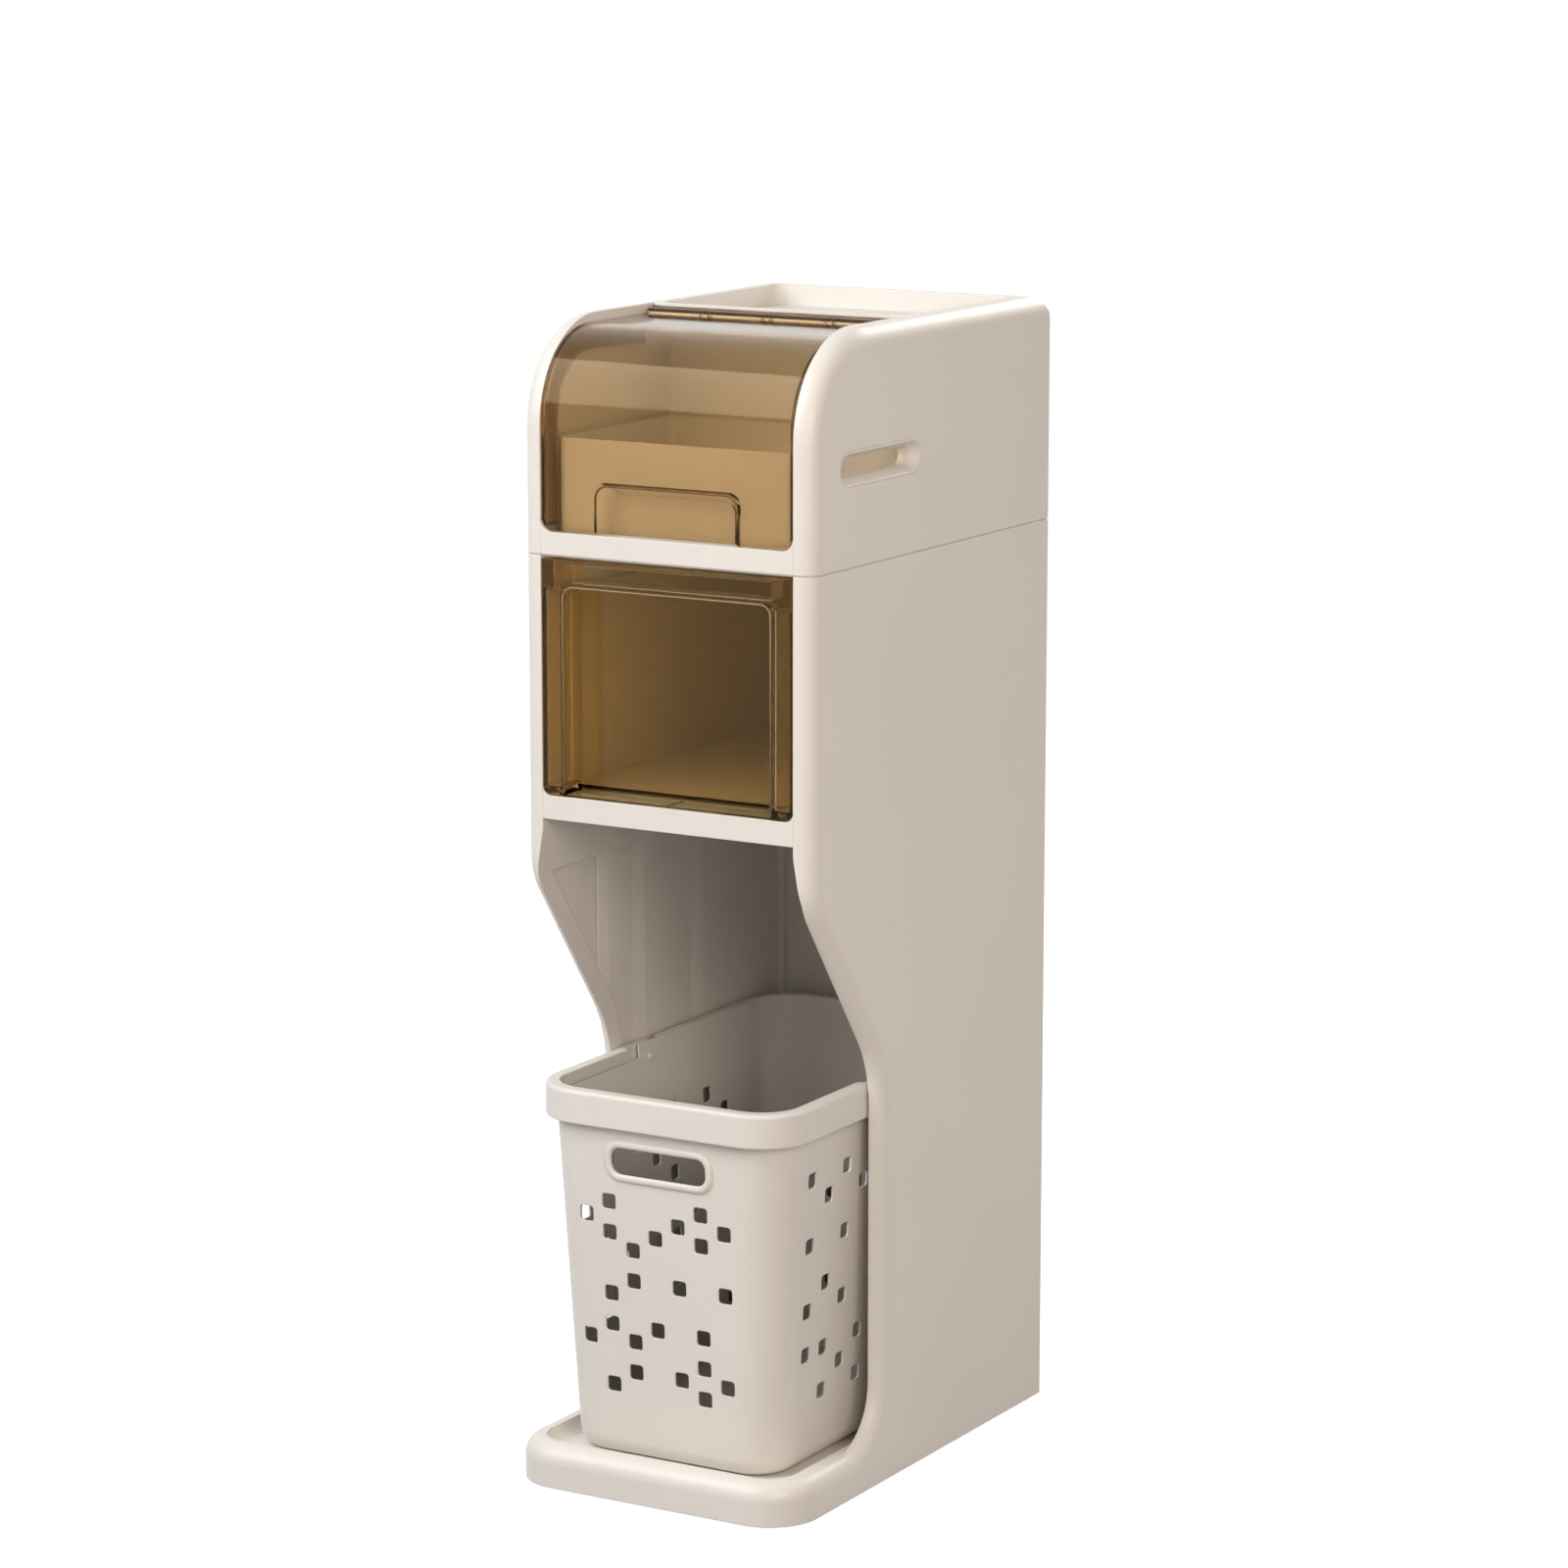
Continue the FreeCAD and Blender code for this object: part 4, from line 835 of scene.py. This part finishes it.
def handle_profile(y):
    """Upside-down L ahead of the pivots and a plain soft bar near them."""
    share = min(1, max(0, (LIP_END - y) / LIP_GROW))
    lip = LIP_LEAST + share * (LIP_REACH + HANDLE_IN)
    inner = HANDLE_IN - lip
    soft = min(SOFT_FOOT, LIP_SHARE * lip)
    corners = ((HANDLE_OUT, HANDLE_LOW, SOFT_FOOT), (HANDLE_OUT, HANDLE_TOP, SOFT_TOP),
               (inner, HANDLE_TOP, SOFT_LIP if share else SOFT_INNER), (inner, LIP_UNDER, soft),
               (HANDLE_IN, LIP_UNDER, NOTCH_SHARE * soft), (HANDLE_IN, HANDLE_LOW, SOFT_INNER))
    past = max(0, y - PIVOT_Y)
    squeeze = math.sqrt(max(0, 1 - (past / END_ROUND) ** 2))
    return [(a, PIVOT_Z + (b - PIVOT_Z) * squeeze) for a, b in soft_profile(corners)]


ends = [PIVOT_Y + END_ROUND * math.sin(math.radians(angle)) for angle in END_ANGLES]
straight = [*ends, *HANDLE_STOPS]
front_corners = rim_corner(-1, -1, 180) + rim_corner(1, -1, 270)
bm = bmesh.new()
add_sweep(bm, rim_side(1, straight) + front_corners[::-1] + rim_side(-1, straight[::-1]), handle_profile)
handle = new_piece("basket_handle_band", bm, basket_white)
even_shading(handle)
print("handle", len(handle.data.polygons), "faces")

# %% [markdown]
# A mesh knows nothing of joints, so each piece is told which body it moves with. The tub, its collar and
# its rear rim pull out with the basket, and the band swings with the handle. The tub and the band also take
# the place of two plain solids, which go on working unseen where things touch.

# %% Basket pieces into the frame
for piece in (basket, collar, rear_rim):
    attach(piece, "basket")
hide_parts("basket")
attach(handle, "handle")
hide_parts("basket_handle")
print("basket and handle placed")

# %% [markdown]
# In the base the rim rolls softly down into the floor that the basket stands on. The solids meet there in
# a sharp corner, so a slim cove strip is swept once round the front and along both sides. Its profile is a
# hollow quarter circle that touches the rim and the floor without a step.

# %% Cove in the base
WELL_HALF = 0.108
WELL_FRONT = -0.183
WELL_REAR = 0.190
WELL_CORNER = 0.023
WELL_FLOOR = 0.0241
WELL_STEPS = 8
COVE_ROUND = 0.008
COVE_SINK = 0.0003
COVE_LEAST = 0.0001
COVE_STEPS = 8


def cove_profile(y):
    """Hollow quarter circle, as (in from the rim, height), alike at every stop."""
    points = [(-COVE_SINK, WELL_FLOOR - COVE_SINK), (-COVE_SINK, WELL_FLOOR + COVE_ROUND)]
    for step in range(COVE_STEPS + 1):
        angle = math.radians(90 * step / COVE_STEPS)
        inward = COVE_LEAST + COVE_ROUND * (1 - math.cos(angle))
        points.append((inward, WELL_FLOOR + COVE_ROUND * (1 - math.sin(angle))))
    points.append((COVE_ROUND, WELL_FLOOR - COVE_SINK))
    return points


def well_line():
    """Stops along the foot of the rim: place and the direction into the well."""
    reach = WELL_HALF - WELL_CORNER
    level = WELL_FRONT + WELL_CORNER
    stops = [(Vector((-WELL_HALF, WELL_REAR)), Vector((1, 0)))]
    for side, start in ((-1, 180), (1, 270)):
        for step in range(WELL_STEPS + 1):
            angle = math.radians(start + 90 * step / WELL_STEPS)
            out = Vector((math.cos(angle), math.sin(angle)))
            stops.append((Vector((side * reach, level)) + out * WELL_CORNER, -out))
    stops.append((Vector((WELL_HALF, WELL_REAR)), Vector((-1, 0))))
    return stops


bm = bmesh.new()
add_sweep(bm, well_line(), cove_profile)
cove = new_piece("base_well_cove", bm, shell_white)
even_shading(cove)
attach(cove, "frame")
print("cove", len(cove.data.polygons), "faces")

# %% [markdown]
# The finger recesses in the lid and in the drawer are outlined by a fine line, because their rims turn in
# sharply there. A slim bead follows each rim up one side, over the top and down the other: deep amber on
# the lid, where the rim is seen through a long way of plastic, and pale on the drawer, where the pale
# colour is a painted highlight of the rim catching the light. It is the same kind of sweep as before, laid
# against the front.

# %% Beads round the finger recesses
BEAD = ((-0.0009, 0.0003), (-0.0007, -0.0004), (0, -0.0007), (0.0007, -0.0004), (0.0009, 0.0003))
LID_ARCH_HALF = 0.0605
LID_ARCH_FOOT = 0.0012
LID_ARCH_TOP = 0.036
LID_ARCH_CORNER = 0.010
DRAWER_ARCH_SIDE = 0.018
DRAWER_ARCH_FOOT = 0.003
DRAWER_ARCH_TOP = 0.020
DRAWER_ARCH_CORNER = 0.009


def arch_line(half, foot, top, corner, steps=8):
    """Stops up, over and down an arch with round corners, each with its outward direction."""
    stops = [((half, foot), (1, 0))]
    for side, start in ((1, 0), (-1, 90)):
        for step in range(steps + 1):
            angle = math.radians(start + 90 * step / steps)
            out = (math.cos(angle), math.sin(angle))
            x = side * (half - corner) + out[0] * corner
            z = top - corner + out[1] * corner
            stops.append(((x, z), out))
    stops.append(((-half, foot), (-1, 0)))
    return stops


def add_bead(name, front, stops, size, material, body):
    """Bead along an arch on an upright front face."""
    bm = bmesh.new()
    rings = []
    for (x, z), out in stops:
        rings.append([(x + out[0] * a * size, front + b * size, z + out[1] * a * size) for a, b in BEAD])
    rows = join_rings(bm, rings)
    bm.faces.new(rows[0])
    bm.faces.new(rows[-1])
    bead = new_piece(name, bm, material)
    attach(bead, body)
    print(name, len(bead.data.polygons), "faces")


lid_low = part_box("flip_lid")[0]
lid_arch = arch_line(LID_ARCH_HALF, lid_low[2] + LID_ARCH_FOOT, lid_low[2] + LID_ARCH_TOP, LID_ARCH_CORNER)
add_bead("lid_recess_bead", lid_low[1], lid_arch, 1.0, edge_amber, "lid")
front_low, front_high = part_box("drawer_front")
drawer_arch = arch_line(front_high[0] - DRAWER_ARCH_SIDE, front_low[2] + DRAWER_ARCH_FOOT,
                        front_high[2] - DRAWER_ARCH_TOP, DRAWER_ARCH_CORNER)
# the pale drawer bead is a painted highlight along the recess rim
add_bead("drawer_recess_highlight_bead", front_low[1], drawer_arch, 0.7, painted_highlight_amber, "drawer")

# %% [markdown]
# A thin clear floor closes the bottom of the drawer's recess, and shows as a pale strip under it. A fine
# raised line at its middle is where the plastic flowed together in the mould. The floor is one soft-edged
# profile drawn out across the recess, and the line is a small prism on top of it.

# %% Floor of the drawer recess
PLATE_THICK = 0.0012
PLATE_NEAR = 0.0005
PLATE_FAR = 0.0258
PLATE_LIFT = 0.0001
PLATE_SIDE = 0.0182
PLATE_SOFT_TOP = 0.0005
PLATE_SOFT_LOW = 0.0003
PLATE_CRISP = 0.0001
LINE_MARGIN = 0.001
FLOW_LINE = ((-0.0006, -0.0001), (0.0006, -0.0001), (0.0003, 0.0004), (-0.0003, 0.0004))


def recess_floor(low, half):
    """Floor and flow line, both lying just above the lowest edge of the drawer front."""
    bm = bmesh.new()
    near = low[1] + PLATE_NEAR
    far = low[1] + PLATE_FAR
    under = low[2] + PLATE_LIFT
    top = under + PLATE_THICK
    edge = soft_profile(((near, under, PLATE_SOFT_LOW), (far, under, PLATE_CRISP),
                         (far, top, PLATE_CRISP), (near, top, PLATE_SOFT_TOP)))
    add_prism(bm, [(-half, y, z) for y, z in edge], [(half, y, z) for y, z in edge])
    line = moved(FLOW_LINE, 0, top)
    line_near = near + LINE_MARGIN
    line_far = far - LINE_MARGIN
    add_prism(bm, [(x, line_near, z) for x, z in line], [(x, line_far, z) for x, z in line])
    return new_piece("drawer_recess_floor", bm, painted_glow_drawer_amber)


recess_plate = recess_floor(front_low, front_high[0] - PLATE_SIDE)
even_shading(recess_plate)
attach(recess_plate, "drawer")
print("recess floor", len(recess_plate.data.polygons), "faces")
